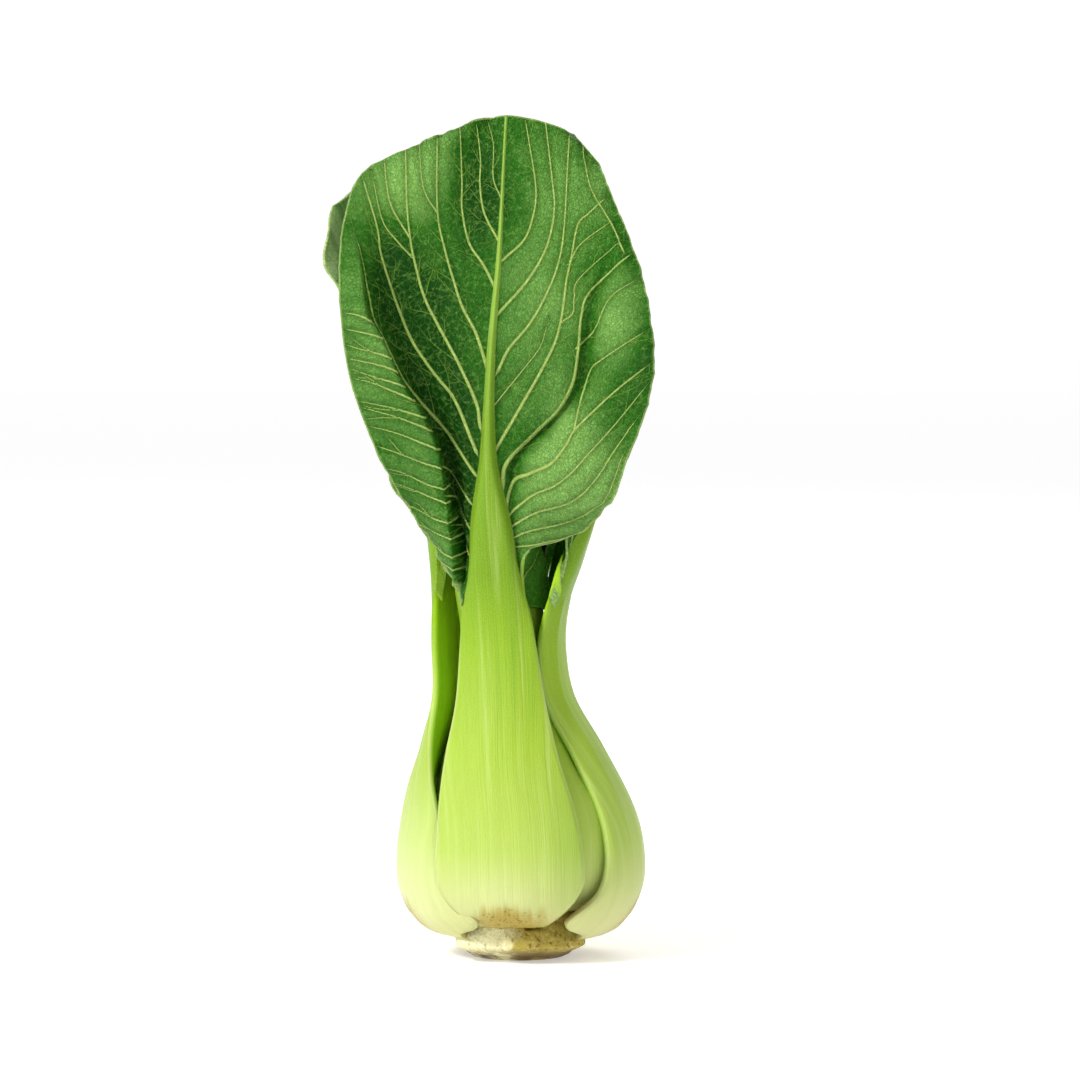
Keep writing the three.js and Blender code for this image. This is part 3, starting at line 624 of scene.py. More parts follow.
def leaf_grid(form, columns, rib_columns, stalk_rows, blade_rows):
    """Points of both faces of a leaf and their leaf coordinates, as a stalk grid and a blade grid."""
    u = np.linspace(-1, 1, rib_columns + 1)
    along = np.linspace(0.06, form.neck, stalk_rows)[:, None] * np.ones_like(u)
    across = form.half_width(along) * u
    stalk = {"across": across, "along": along, "u": np.broadcast_to(u, along.shape)}
    stalk["w"] = np.zeros_like(along)
    stalk["half"] = stalk["reach"] = form.half_width(along)

    v = np.linspace(0, 1, blade_rows)[:, None]
    w = np.linspace(0, 1, columns + 1)[None, 1:]
    parts = []
    for side in (-1, 1):
        a, f, half, reach = form.blade_spot(side, w, v)
        parts.append((a, form.along(f), np.full(a.shape, float(side)), w * np.ones_like(v), half, reach))
    mid = form.along(form.blade_row(1, v)[0])
    rib_along = mid * np.ones_like(u)
    rib_half = form.half_width(rib_along)
    rib = (rib_half * u, rib_along, u * np.ones_like(v), np.zeros_like(rib_along), rib_half, rib_half)
    left = [p[:, ::-1] for p in parts[0]]
    blade = {
        key: np.concatenate([left[k], rib[k], parts[1][k]], axis=1)
        for k, key in enumerate(("across", "along", "u", "w", "half", "reach"))
    }
    return stalk, blade


def grid_normals(points):
    up = np.gradient(points, axis=0)
    side = np.gradient(points, axis=1)
    return unit(np.cross(side, up))


def place_faces(form, part, relief):
    """The outer and inner points of a grid: the stalk or midrib, and the blade where the grid has one."""
    across, along, w = part["across"], part["along"], part["w"]
    inset = form.leaf["inset"]
    normal = form.normal(across, along)
    base = form.sheet(across, along) - inset * normal
    outer_off, inner_off = form.rib_offsets(part["u"], along)
    rib_outer = base + normal * (outer_off + relief)[..., None]
    rib_inner = base + normal * inner_off[..., None]
    if not w.any():
        return rib_outer, rib_inner
    f = form.share(along)
    wave, inward = form.leaf["waves"](across, w, f, part["half"], part["reach"])
    wave = np.where(w > 0, wave, 0)
    # The wave is kept for painted light and shade: lighter where the blade stands forward, darker in its
    # hollows
    part["tone"] = wave
    pulled = across - np.sign(across) * np.where(w > 0, inward, 0)
    middle = form.sheet(pulled, along) + normal * (wave - form.blade_depth(f) - inset)[..., None]
    facing = unit(mix(normal, grid_normals(middle), smoothstep(0, 0.12, w)[..., None]))
    half = BLADE_THICKNESS / 2
    blade_outer = middle + facing * (half + relief)[..., None]
    blade_inner = middle + facing * (-half + 0.5 * relief)[..., None]
    on_blade = (w > 0)[..., None]
    return np.where(on_blade, blade_outer, rib_outer), np.where(on_blade, blade_inner, rib_inner)


def fluting(form, part):
    """Soft lengthwise ridges of the stalk, in millimetres."""
    seed = form.leaf["seed"]
    across, along, u = part["across"], part["along"], part["u"]
    broad = np.sin(across * 0.9 + seed) + 0.7 * np.sin(across * 1.9 + 2.1 * seed + 0.01 * along)
    fine = 0.5 * np.sin(across * 4.1 + 3.3 * seed)
    fade = smoothstep(0, 14, along) * smoothstep(1, 0.75, np.abs(u))
    up = smoothstep(40, 62, along) * smoothstep(118, 104, along)
    return FLUTE_HEIGHT * fade * (broad + fine) + form.leaf["ridge"] * up * bell(u, -0.58, 0.07)


def vein_relief(part, mains, minors, picks):
    """Ridges over the veins and quilting between them, in millimetres."""
    spots = np.stack([part["across"], part["y"]], -1)
    away, width = mains.signed(spots, picks[0])
    relief = VEIN_RIDGE * bell(away, 0, np.maximum(width * 0.9, 0.05)) * np.minimum(1, width / 0.3)
    relief = relief - QUILT_DEPTH * bell(away, 0, QUILT_WIDTH)
    away, width = minors.signed(spots, picks[1])
    relief = relief + THIN_RIDGE * bell(away, 0, np.maximum(width * 1.3, 0.05))
    relief = relief - THIN_QUILT_DEPTH * bell(away, 0, THIN_QUILT_WIDTH)
    return smoothstep(0, 0.08, part["w"]) * relief


def quads(indices):
    a, b = indices[:-1, :-1], indices[:-1, 1:]
    c, d = indices[1:, 1:], indices[1:, :-1]
    return np.stack([a, b, c, d], -1).reshape(-1, 4)


def perimeter(stalk_ids, blade_ids, columns):
    """The vertices round the leaf's outline, anticlockwise as seen from outside."""
    rib_end = blade_ids.shape[1] - columns - 1
    return np.concatenate(
        [
            stalk_ids[0, :],
            stalk_ids[1:, -1],
            blade_ids[0, rib_end:],
            blade_ids[1:, -1],
            blade_ids[-1, -2::-1],
            blade_ids[-2::-1, 0],
            blade_ids[0, 1 : columns + 1],
            stalk_ids[::-1, 0][:-1],
        ]
    )


def leaf_faces(stalk_ids, blade_ids, columns, rib_columns):
    """A leaf's faces, and how many are on its outer side. The inner side and the walls follow those."""
    count = stalk_ids.size + blade_ids.size
    joint = np.stack([stalk_ids[-1], blade_ids[0, columns : columns + rib_columns + 1]])
    outer = np.concatenate([quads(stalk_ids), quads(joint), quads(blade_ids)])
    loop = perimeter(stalk_ids, blade_ids, columns)
    after = np.roll(loop, -1)
    walls = np.stack([loop, loop + count, after + count, after], -1)
    return np.concatenate([outer, outer[:, ::-1] + count, walls]), len(outer)


def off_rib(part):
    """How far a point of the blade is from the midrib's edge, in millimetres."""
    return np.where(part["w"] > 0, np.abs(part["across"]) - part["half"], 0)


def rim_distance(form, part):
    """Rough distance in millimetres from a point to the leaf's outline."""
    across = part["across"]
    if not part["w"].any():
        return np.abs(across[:, -1:]) * (1 - np.abs(part["u"]))
    sideways = np.where(across < 0, -across[:, :1], across[:, -1:]) - np.abs(across)
    from_top = (1 - np.linspace(0, 1, len(across)))[:, None] * form.length * 0.6
    return np.minimum(sideways, from_top)


def stacked(stalk_values, blade_values):
    """Values of the stalk's grid and then of the blade's, a row for each point."""
    return np.concatenate([v.reshape(-1, *v.shape[2:]) for v in (stalk_values, blade_values)])


def add_object(name, data):
    """A new object in the scene, from mesh, camera or light data."""
    added = bpy.data.objects.new(name, data)
    bpy.context.scene.collection.objects.link(added)
    return added


def mesh_object(name, points, faces, material):
    mesh = bpy.data.meshes.new(name)
    mesh.from_pydata(np.asarray(points).tolist(), [], faces)
    mesh.update()
    mesh.shade_smooth()
    mesh.materials.append(material)
    return add_object(name, mesh)


def add_attribute(mesh, name, kind, domain, values):
    attribute = mesh.attributes.new(name, kind, domain)
    key = "value" if kind == "FLOAT" else "vector"
    attribute.data.foreach_set(key, np.ascontiguousarray(values, np.float32).ravel())


def add_vein_attribute(mesh, name, veins, spots, corners, is_blade, outer_count):
    """At each face corner, how far off the face's nearest vein is, signed by side, and its half width."""
    on_outer = is_blade[:outer_count]
    centres = spots[corners].mean(axis=1)
    chosen = np.zeros(len(corners), int)
    chosen[:outer_count][on_outer] = veins.nearest(centres[:outer_count][on_outer])
    chosen[outer_count : 2 * outer_count] = chosen[:outer_count]
    away, width = veins.signed(spots[corners], chosen[:, None] * np.ones((1, 4), int))
    away = np.where(is_blade[:, None], away, NO_VEIN)
    away[2 * outer_count :] = NO_VEIN
    data = np.stack([away, np.maximum(width, LEAST_VEIN), np.full_like(width, NO_VEIN)], -1)
    add_attribute(mesh, name, "FLOAT_VECTOR", "CORNER", data.reshape(-1, 3))


def build_leaf(leaf, material):
    """A leaf as one closed mesh, with what its material reads kept as attributes."""
    form = LeafForm(leaf)
    columns, rib_columns, stalk_rows, blade_rows = leaf["detail"]
    rng = np.random.default_rng(leaf["seed"])
    mains, minors = (VeinSet(veins) for veins in grow_veins(form, rng))
    stalk, blade = leaf_grid(form, columns, rib_columns, stalk_rows, blade_rows)
    for part in (stalk, blade):
        part["y"] = part["along"] - form.neck
    flat = np.stack([blade["across"], blade["y"]], -1)
    picks = [veins.nearest(flat.reshape(-1, 2)).reshape(flat.shape[:2]) for veins in (mains, minors)]
    stalk_outer, stalk_inner = place_faces(form, stalk, fluting(form, stalk))
    blade_outer, blade_inner = place_faces(form, blade, vein_relief(blade, mains, minors, picks))
    outer = stacked(stalk_outer, blade_outer)
    inner = stacked(stalk_inner, blade_inner)

    stalk_ids = np.arange(stalk["u"].size).reshape(stalk["u"].shape)
    blade_ids = stalk_ids.size + np.arange(blade["u"].size).reshape(blade["u"].shape)
    faces, outer_count = leaf_faces(stalk_ids, blade_ids, columns, rib_columns)
    points = np.concatenate([outer, inner]) * MM
    leaf_object = mesh_object(leaf["name"], points, faces.tolist(), material)
    mesh = leaf_object.data

    across, y = (stacked(stalk[key], blade[key]) for key in ("across", "y"))
    place = np.stack([across, y, outer[:, 2]], -1)
    add_attribute(mesh, "leaf_place", "FLOAT_VECTOR", "POINT", np.concatenate([place, place]))
    off = stacked(off_rib(stalk), off_rib(blade))
    rim = stacked(rim_distance(form, stalk), rim_distance(form, blade))
    kind = np.stack([off, rim, np.ones_like(off)], -1)
    add_attribute(mesh, "leaf_kind", "FLOAT_VECTOR", "POINT", np.concatenate([kind, kind * [1, 1, 0]]))
    # Painted light and shade: from the waves, and from the listed patches as seen from the front
    tone = stacked(np.zeros_like(stalk["w"]), blade["tone"]) / WAVE_PER_PAINTED_LIGHT
    for x, z, wide, tall, amount in leaf["tones"]:
        tone += amount * bell(outer[:, 0], x, wide) * bell(outer[:, 2], z, tall)
    add_attribute(mesh, "leaf_painted_light", "FLOAT", "POINT", np.concatenate([tone, tone]))
    corners = faces % len(outer)
    is_blade = corners.min(axis=1) >= stalk_ids.size
    spots = np.stack([across, y], -1)
    for name, veins in (("vein_main", mains), ("vein_minor", minors)):
        add_vein_attribute(mesh, name, veins, spots, corners, is_blade, outer_count)

    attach(leaf_object, "root")
    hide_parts(leaf["name"] + "_stalk", leaf["name"] + "_blade")


# Materials. Colours are given as they look on screen, 0 to 255, and turned into Blender's linear values.


def srgb(red, green, blue):
    parts = (part / 255 for part in (red, green, blue))
    return tuple(part / 12.92 if part < 0.0405 else ((part + 0.055) / 1.055) ** 2.4 for part in parts)


# The stalk's colours up the head: share of the head's height, colour
HEAD_HEIGHT = 200
STALK_COLOURS = [
    (0.03, srgb(206, 204, 144)), (0.07, srgb(198, 203, 134)), (0.14, srgb(176, 199, 90)),
    (0.26, srgb(160, 190, 54)), (0.37, srgb(140, 176, 34)), (0.46, srgb(112, 150, 10)),
    (0.62, srgb(112, 150, 24)), (0.9, srgb(146, 180, 74)),
]
STREAK_DARK = srgb(108, 156, 30)
STREAK_PALE = srgb(204, 222, 140)
STALK_FIBRE = srgb(108, 156, 34)
STALK_GRAIN = srgb(222, 228, 176)
STALK_RIM = srgb(214, 224, 150)
STALK_SHADE = srgb(128, 168, 44)
STALK_LIGHT = srgb(240, 242, 196)
# The stalk's inner face: its own saturated green, brightened as painted light where it lies in shade
STALK_INNER_FACE = srgb(176, 224, 28)
FOOT_BROWN = srgb(170, 146, 58)
FOOT_SPECK = srgb(104, 74, 22)
FOOT_RIM = srgb(150, 118, 52)

# A blade's middle, dark and light green; the dark and light greens carry painted shade and painted light as
# well as random mottling
OUTER_GREENS = (srgb(44, 108, 18), srgb(8, 62, 0), srgb(130, 178, 88))
INNER_GREENS = (srgb(70, 134, 36), srgb(30, 98, 8), srgb(116, 172, 70))
# Used only as painted light on the blade's most lit areas
BLADE_PAINTED_LIGHTEST = srgb(206, 232, 160)
BLADE_NET = srgb(128, 170, 70)
THIN_VEIN_GREEN = srgb(136, 176, 72)
MAIN_VEIN_GREEN = srgb(178, 204, 108)
BLADE_RIM = srgb(182, 206, 124)
BLADE_INNER_FACE = srgb(46, 116, 8)

STUMP_CREAM = srgb(250, 246, 196)
STUMP_OCHRE = srgb(180, 162, 68)
STUMP_STAIN = srgb(150, 124, 48)
STUMP_PALE = srgb(224, 218, 158)
STUMP_SPECK = srgb(112, 80, 24)
STUMP_CUT = srgb(112, 90, 36)
STUMP_CUT_EDGE = srgb(96, 68, 26)


class Value:
    """A node's output, with arithmetic that adds Math nodes."""

    def __init__(self, tree, socket):
        self.tree = tree
        self.socket = socket

    def __add__(self, other):
        return self.tree.math("ADD", self, other)

    def __sub__(self, other):
        return self.tree.math("SUBTRACT", self, other)

    def __rsub__(self, other):
        return self.tree.math("SUBTRACT", other, self)

    def __mul__(self, other):
        return self.tree.math("MULTIPLY", self, other)

    def __truediv__(self, other):
        return self.tree.math("DIVIDE", self, other)

    def __abs__(self):
        return self.tree.math("ABSOLUTE", self)


class Tree:
    """Short calls for a material's nodes."""

    def __init__(self, name):
        self.material = bpy.data.materials.new(name)
        self.material.use_nodes = True
        self.nodes = self.material.node_tree.nodes
        self.links = self.material.node_tree.links
        self.nodes.clear()
        self.shader = self.nodes.new("ShaderNodeBsdfPrincipled")
        output = self.nodes.new("ShaderNodeOutputMaterial")
        self.links.new(self.shader.outputs[0], output.inputs["Surface"])

    def feed(self, socket, value):
        if isinstance(value, Value):
            self.links.new(value.socket, socket)
        elif socket.type == "RGBA":
            socket.default_value = (*value, 1)
        else:
            socket.default_value = value

    def add(self, kind, inputs, output=0, **settings):
        """A new node, as the value of one of its outputs."""
        node = self.nodes.new("ShaderNode" + kind)
        for name, setting in settings.items():
            setattr(node, name, setting)
        for key, value in inputs.items():
            self.feed(node.inputs[key], value)
        return Value(self, node.outputs[output])

    def math(self, operation, a, b=0):
        return self.add("Math", {0: a, 1: b}, operation=operation)

    def remap(self, value, low, high, to_low=0, to_high=1, smooth=True):
        """Carries the range from low to high over to the one from to_low to to_high, and stops there."""
        inputs = dict(enumerate((value, low, high, to_low, to_high)))
        return self.add("MapRange", inputs, interpolation_type="SMOOTHSTEP" if smooth else "LINEAR")

    def blend(self, share, a, b):
        return self.add("Mix", {0: share, 6: a, 7: b}, 2, data_type="RGBA")

    def layers(self, colour, *layers):
        """A colour with others laid over it in turn, each given as its share and its colour."""
        for share, over in layers:
            colour = self.blend(share, colour, over)
        return colour

    def attribute(self, name, output="Vector"):
        return self.add("Attribute", {}, output, attribute_name=name)

    def split(self, vector):
        node = self.nodes.new("ShaderNodeSeparateXYZ")
        self.feed(node.inputs[0], vector)
        return [Value(self, output) for output in node.outputs]

    def join(self, x, y, z=0):
        return self.add("CombineXYZ", {0: x, 1: y, 2: z})

    def noise(self, vector, scale, detail=3, rough=0.5):
        inputs = {"Vector": vector, "Scale": scale, "Detail": detail, "Roughness": rough}
        return self.add("TexNoise", inputs)

    def cells(self, vector, scale):
        return self.add("TexVoronoi", {"Vector": vector, "Scale": scale}, feature="DISTANCE_TO_EDGE")

    def ramp(self, value, stops):
        node = self.nodes.new("ShaderNodeValToRGB")
        self.feed(node.inputs[0], value)
        elements = node.color_ramp.elements
        while len(elements) < len(stops):
            elements.new(0.5)
        for element, (position, colour) in zip(elements, stops):
            element.position = position
            element.color = (*colour, 1)
        return Value(self, node.outputs[0])

    def bump(self, height, distance, strength):
        return self.add("Bump", {"Height": height, "Distance": distance, "Strength": strength})

    def surface(self, values):
        """Sets the shader's inputs and gives the finished material."""
        for name, value in values.items():
            self.feed(self.shader.inputs[name], value)
        return self.material


def leaf_material(name, blade_mid, blade_dark, blade_light):
    """Stalk and blade in one, as each leaf is one mesh. Places and distances come in millimetres."""
    tree = Tree(name)
    across, y, height = tree.split(tree.attribute("leaf_place"))
    off, rim, outside = tree.split(tree.attribute("leaf_kind"))
    main_distance, main_width = tree.split(tree.attribute("vein_main"))[:2]
    thin_distance, thin_width = tree.split(tree.attribute("vein_minor"))[:2]
    # Painted light and shade, from the leaf's waves and patches
    tone = tree.attribute("leaf_painted_light", "Fac")
    main_vein = tree.remap(abs(main_distance) / main_width, 1.15, 0.45)
    thin_vein = tree.remap(abs(thin_distance) / thin_width, 1.3, 0.4)

    # Stalk and midrib: streaks along it, with a browned and specked foot
    streak = tree.noise(tree.join(across * 0.42, y * 0.016), 1, 4, 0.5)
    fibre = tree.noise(tree.join(across * 2.4, y * 0.04, 4), 1, 3, 0.6)
    grain = tree.noise(tree.join(across, y, 9), 3, 2, 0.6)
    up_neck = tree.remap(height, 40, 84, 0.15, 1)
    below_neck = tree.remap(height, 84, 60)
    # Painted light and shade on the stalk, below the neck only
    stalk_painted_light = tone * below_neck
    stalk = tree.layers(
        tree.ramp(height / HEAD_HEIGHT, STALK_COLOURS),
        (tree.remap(streak, 0.52, 0.7, 0, 0.45) * up_neck, STREAK_DARK),
        (tree.remap(streak, 0.48, 0.3, 0, 0.3), STREAK_PALE),
        (tree.remap(fibre, 0.56, 0.78, 0, 0.25) * up_neck, STALK_FIBRE),
        (tree.remap(grain, 0.4, 0.7, 0, 0.1), STALK_GRAIN),
        (tree.remap(rim, 0.8, 0.1) * below_neck * 0.5, STALK_RIM),
        # painted shade and painted light
        (tree.remap(stalk_painted_light, 0, -1, 0, 0.5, smooth=False), STALK_SHADE),
        (tree.remap(stalk_painted_light, 0, 1, 0, 0.7, smooth=False), STALK_LIGHT),
    )
    # The inner face's own saturated green, brightened as painted light where it lies in shade
    inner_face = tree.blend(tree.remap(height, 16, 36, 0, 0.7), stalk, STALK_INNER_FACE)
    uneven = height + (streak - 0.5) * 14 + abs(across) * 0.25
    foot = tree.remap(uneven, 18, 12.5) * tree.remap(height, 17.5, 13.5)
    foot = foot * tree.remap(abs(across), 14, 3)
    speck = tree.remap(tree.noise(tree.join(across, y, 3), 1.5, 2), 0.58, 0.66)
    stalk = tree.layers(
        inner_face,
        (outside, stalk),
        (foot * 0.9, FOOT_BROWN),
        (foot * speck * 0.7, FOOT_SPECK),
        (tree.remap(rim, 0.45, 0.1) * tree.remap(height, 19, 13) * 0.6, FOOT_RIM),
    )

    # Blade: large areas, mottling, a net of cells, then the veins and the rim
    flat = tree.join(across, y, outside)
    patch = tree.noise(flat, 0.06, 3, 0.55)
    mottle = tree.noise(flat, 0.9, 4, 0.65)
    # Painted light and shade, varied by large random patches
    painted_light_varied = tone + tree.remap(patch, 0.3, 0.7, -0.22, 0.22)
    bent = tree.join(across + mottle * 1.2, y * 0.75 + mottle * 0.9)
    net = tree.remap(tree.cells(bent, 0.55), 0.07, 0)
    fine_net = tree.remap(tree.cells(bent, 1.7), 0.12, 0)
    blade = tree.layers(
        blade_mid,
        # painted shade, painted light and the palest painted light
        (tree.remap(painted_light_varied, 0, -1.1, smooth=False), blade_dark),
        (tree.remap(painted_light_varied, 0, 1.1, smooth=False), blade_light),
        (tree.remap(painted_light_varied, 1.4, 3, smooth=False), BLADE_PAINTED_LIGHTEST),
        (tree.remap(mottle, 0.5, 0.72, 0, 0.4), blade_light),
        (tree.remap(mottle, 0.48, 0.3, 0, 0.35), blade_dark),
        # painted shade in the troughs beside the main veins
        (tree.remap(abs(main_distance), 0.25, 1.5, 0.35, 0), blade_dark),
        (net * 0.24, BLADE_NET),
        (fine_net * 0.16, blade_dark),
        (thin_vein * 0.46, THIN_VEIN_GREEN),
        (main_vein * 0.9, MAIN_VEIN_GREEN),
        (tree.remap(rim, 0.5, 0.1) * 0.6, BLADE_RIM),
    )
    blade = tree.blend(outside, tree.blend(0.25, blade, BLADE_INNER_FACE), blade)

    on_blade = tree.remap(off, 0, 0.3)
    ridges = (streak * 1.2 + fibre) * 0.5 + grain * 0.12
    relief = net * -0.4 + fine_net * -0.5 + (main_vein * 0.8 + thin_vein * 0.6) + mottle * 1.1
    return tree.surface(
        {
            "Base Color": tree.blend(on_blade, stalk, blade),
            "Roughness": on_blade * 0.12 + 0.36 + (mottle - 0.5) * 0.2,
            "Normal": tree.bump(relief * on_blade + ridges * (1 - on_blade), 0.0004, 1),
            "Subsurface Weight": 0.14,
            "Subsurface Radius": (0.6, 1, 0.15),
            "Subsurface Scale": 0.003,
            "Specular IOR Level": 0.12,
        }
    )


def stump_material():
    """Cream on its left and ochre on its right, with dark specks, and darker brown towards the bottom and
    along the cut's edge.
    """
    tree = Tree("root_end")
    place = tree.add("TexCoord", {}, "Object")
    sideways, _, up = tree.split(place)
    height = up * 1000
    big = tree.noise(place, 170, 4, 0.6)
    small = tree.noise(place, 800, 4, 0.65)
    drift = sideways * 1000 + (big - 0.5) * 22
    specks = tree.remap(tree.noise(place, 1000, 2, 0.5), 0.6, 0.68)
    low = tree.remap(height, 4.4, 2) * tree.remap(big, 0.34, 0.54, 0.3, 1)
    edge = tree.remap(abs(height - 1), 0.9, 0)
    base = tree.layers(
        STUMP_CREAM,
        (tree.remap(drift, -6, 2), STUMP_OCHRE),
        (tree.remap(small, 0.52, 0.72, 0, 0.6), STUMP_STAIN),
        (tree.remap(small, 0.46, 0.3, 0, 0.5), STUMP_PALE),
        (specks * tree.remap(drift, -8, 4, 0.15, 0.8), STUMP_SPECK),
        # darker brown towards the bottom and along the cut's edge
        (low * 0.85, STUMP_CUT),
        (edge * tree.remap(big, 0.4, 0.6, 0.2, 0.8), STUMP_CUT_EDGE),
    )
    return tree.surface(
        {
            "Base Color": base,
            "Roughness": tree.remap(small, 0.2, 0.8, 0.5, 0.85),
            "Normal": tree.bump(big + small, 0.0008, 0.9),
            "Subsurface Weight": 0.1,
            "Subsurface Radius": (1, 0.8, 0.3),
            "Subsurface Scale": 0.002,
        }
    )


# Leaves from the outermost in, with the same named values as the solids


def flare(low, high):
    """A crown that leans out more and more, from one (distance, height) to the other."""
    return [
        (mix(low[0], high[0], share**1.3), mix(low[1], high[1], share)) for share in (0.25, 0.5, 0.75, 1)
    ]


def leaf_values(name, azimuth, stalk, crown, reach, waves, **more):
    """A leaf's values. azimuth is in degrees at the foot, the neck and the tip, reach is its half width."""
    leaf = {
        "name": name, "azimuth": azimuth, "stalk": stalk, "crown": crown, "blade": COMMON_BLADE,
        "reach": reach, "wrap": 1, "cup": -0.004, "inset": 0, "waves": waves, "veins": None,
        "vein_count": 8, "vein_scale": 0.9, "detail": (56, 20, 90, 110), "tones": [], "ridge": 0,
        "is_outer": False,
    }
    leaf.update(more)
    return leaf


LEAVES = [
    leaf_values(
        "front_leaf", (-5, -5, -5), FRONT_STALK,
        [(16.4, 96), (17.8, 110), (20.2, 125), (22.8, 140), (24.6, 156), (25.2, 172), (24.6, 186),
         (23, 198.8)],
        1, front_waves, blade=FRONT_BLADE, wrap=0.92, cup=-0.006, veins=FRONT_VEINS, vein_scale=1,
        tones=FRONT_PAINTED_LIGHT, detail=(96, 26, 150, 170), is_outer=True, seed=11,
    ),
    leaf_values(
        "second_leaf", (20, 6, 14), SECOND_STALK,
        [(11.4, 94), (12.8, 108), (14.6, 122), (15.6, 136), (15, 150)],
        15, ruffle(0.6, 1.6, 0.4), blade=SECOND_BLADE, wrap=1.5, cup=0.06, vein_scale=0.6,
        detail=(30, 14, 80, 70), seed=12,
    ),
    leaf_values(
        "right_leaf", (90, 83, 97), OUTER_STALK[:-3] + RIGHT_NECK,
        [(19.8, 94), (24, 106), (27.4, 120), (29.6, 135), (30.4, 149), (29, 162)],
        21, ruffle(2.2, 2, 0.9), blade=RIGHT_BLADE, ridge=0.7, tones=RIGHT_PAINTED_LIGHT, is_outer=True, seed=13,
    ),
    leaf_values(
        "left_leaf", (-87, -126, -100), OUTER_STALK[:-3] + LEFT_NECK,
        [(17.4, 96), (18.8, 109), (22.4, 123), (27.2, 138), (32.2, 153), (36.6, 166), (38.6, 175),
         (38.2, 182)],
        22, left_waves, cup=-0.002, inset=0.5, tones=LEFT_PAINTED_LIGHT, is_outer=True, seed=14,
    ),
    leaf_values(
        "back_leaf", (178, 178, 178), OUTER_STALK,
        [(18.6, 95), (23, 107), (27.4, 120), (31.6, 134), (35, 148), (37.4, 162), (38, 175)],
        28, ruffle(2.6, 2, 0.2), wrap=0.94, inset=1, is_outer=True, seed=15,
    ),
]
FIRST_INNER_SEED = 35
FIRST_HEART_SEED = 50
for number, (side, turn, low, high, top, inset, cup) in enumerate((
    ("back_right", 140, 12.2, 17.4, 146, 0, 0.058),
    ("left", -66, 11, 14.6, 134, 0.3, 0.066),
    ("right", 72, 10.2, 12.8, 140, 0.6, 0.076),
    ("back_left", -152, 9.8, 12.2, 148, 0.9, 0.08),
)):
    LEAVES.append(
        leaf_values(
            f"inner_leaf_{side}", (turn, turn, turn), INNER_STALK, flare((low, 78), (high, top)),
            13, ruffle(0.5, 1.5, turn), wrap=0.95, cup=cup, inset=inset, vein_scale=0.55, vein_count=6,
            detail=(26, 12, 60, 64), seed=FIRST_INNER_SEED + number,
        )
    )
for number, (turn, top, inset) in enumerate(((-15, 112, 0), (105, 104, 0.5), (-130, 97, 1))):
    LEAVES.append(
        leaf_values(
            f"heart_leaf_{number + 1}", (turn, turn, turn), HEART_STALK, flare((6, 67), (6.6, top)),
            6.2, ruffle(0.2, 1, turn), wrap=0.95, cup=0.14, inset=inset, vein_scale=0.4, vein_count=5,
            detail=(14, 8, 36, 40), seed=FIRST_HEART_SEED + number,
        )
    )


# The stump, with the torn bases of lost leaves: degrees round from +X, top height, half span, depth
STUBS = [
    (-122, 10.8, 26, 6.6), (-90, 9.4, 26, 6.2), (-54, 13.6, 26, 7.2), (-160, 7.6, 22, 1.6),
    (58, 10.2, 28, 3), (110, 7.4, 26, 1.6), (8, 7.2, 20, 1.4),
]
# Its side from the cut face up to where the leaves cover it: radius, height
STUMP_SIDE = [
    (11.1, 0), (12.6, 0.8), (13.5, 2.4), (13.9, 4.2), (13.6, 6.2), (12.6, 8.2), (11.2, 10.4),
    (9.2, 13.4), (6.6, 16.4), (1.5, 19.2),
]
STUMP_TOP = 19.6
CUT_HOLLOW = 0.5
STUMP_RINGS = 120
CUT_RINGS = 24
STUMP_COLUMNS = 280


def stump_rings(angle):
    """Points of the stump's side, a ring for each height."""
    last = len(STUMP_SIDE) - 1
    t = np.linspace(0, last, STUMP_RINGS)[:, None]
    row = track(range(len(STUMP_SIDE)), STUMP_SIDE)(t[:, 0])
    radius = row[:, :1] * np.ones_like(angle)
    height = row[:, 1:] * np.ones_like(angle)
    body = np.sin(math.pi * np.clip(t / last, 0, 1)) ** 0.5
    knobs = 0.4 * np.sin(5 * angle + 0.5 * t) + 0.3 * np.sin(9 * angle - 1.1 * t)
    jagged = 0.45 * np.sin(11 * angle + 1) + 0.3 * np.sin(23 * angle) + 0.2 * np.sin(41 * angle + 2)
    grain = 0.1 * np.sin(31 * angle + 2.2 * t) * np.sin(17 * angle - 3 * t)
    grain = grain + 0.07 * np.sin(67 * angle + 5 * t) * np.sin(8 * t)
    stubs = np.zeros_like(radius)
    for middle, top, span, depth in STUBS:
        off = np.angle(np.exp(1j * (angle - math.radians(middle)))) / math.radians(span)
        edge = top - 1.4 * off**2 + jagged
        plate = depth * np.exp(-(off**4)) * smoothstep(0.3, 4.5, height)
        stubs = np.maximum(stubs, plate * smoothstep(edge + 0.5, edge - 0.5, height))
    radius = radius + body * (knobs + grain) + stubs
    return np.stack([radius * np.cos(angle), radius * np.sin(angle), height], -1)


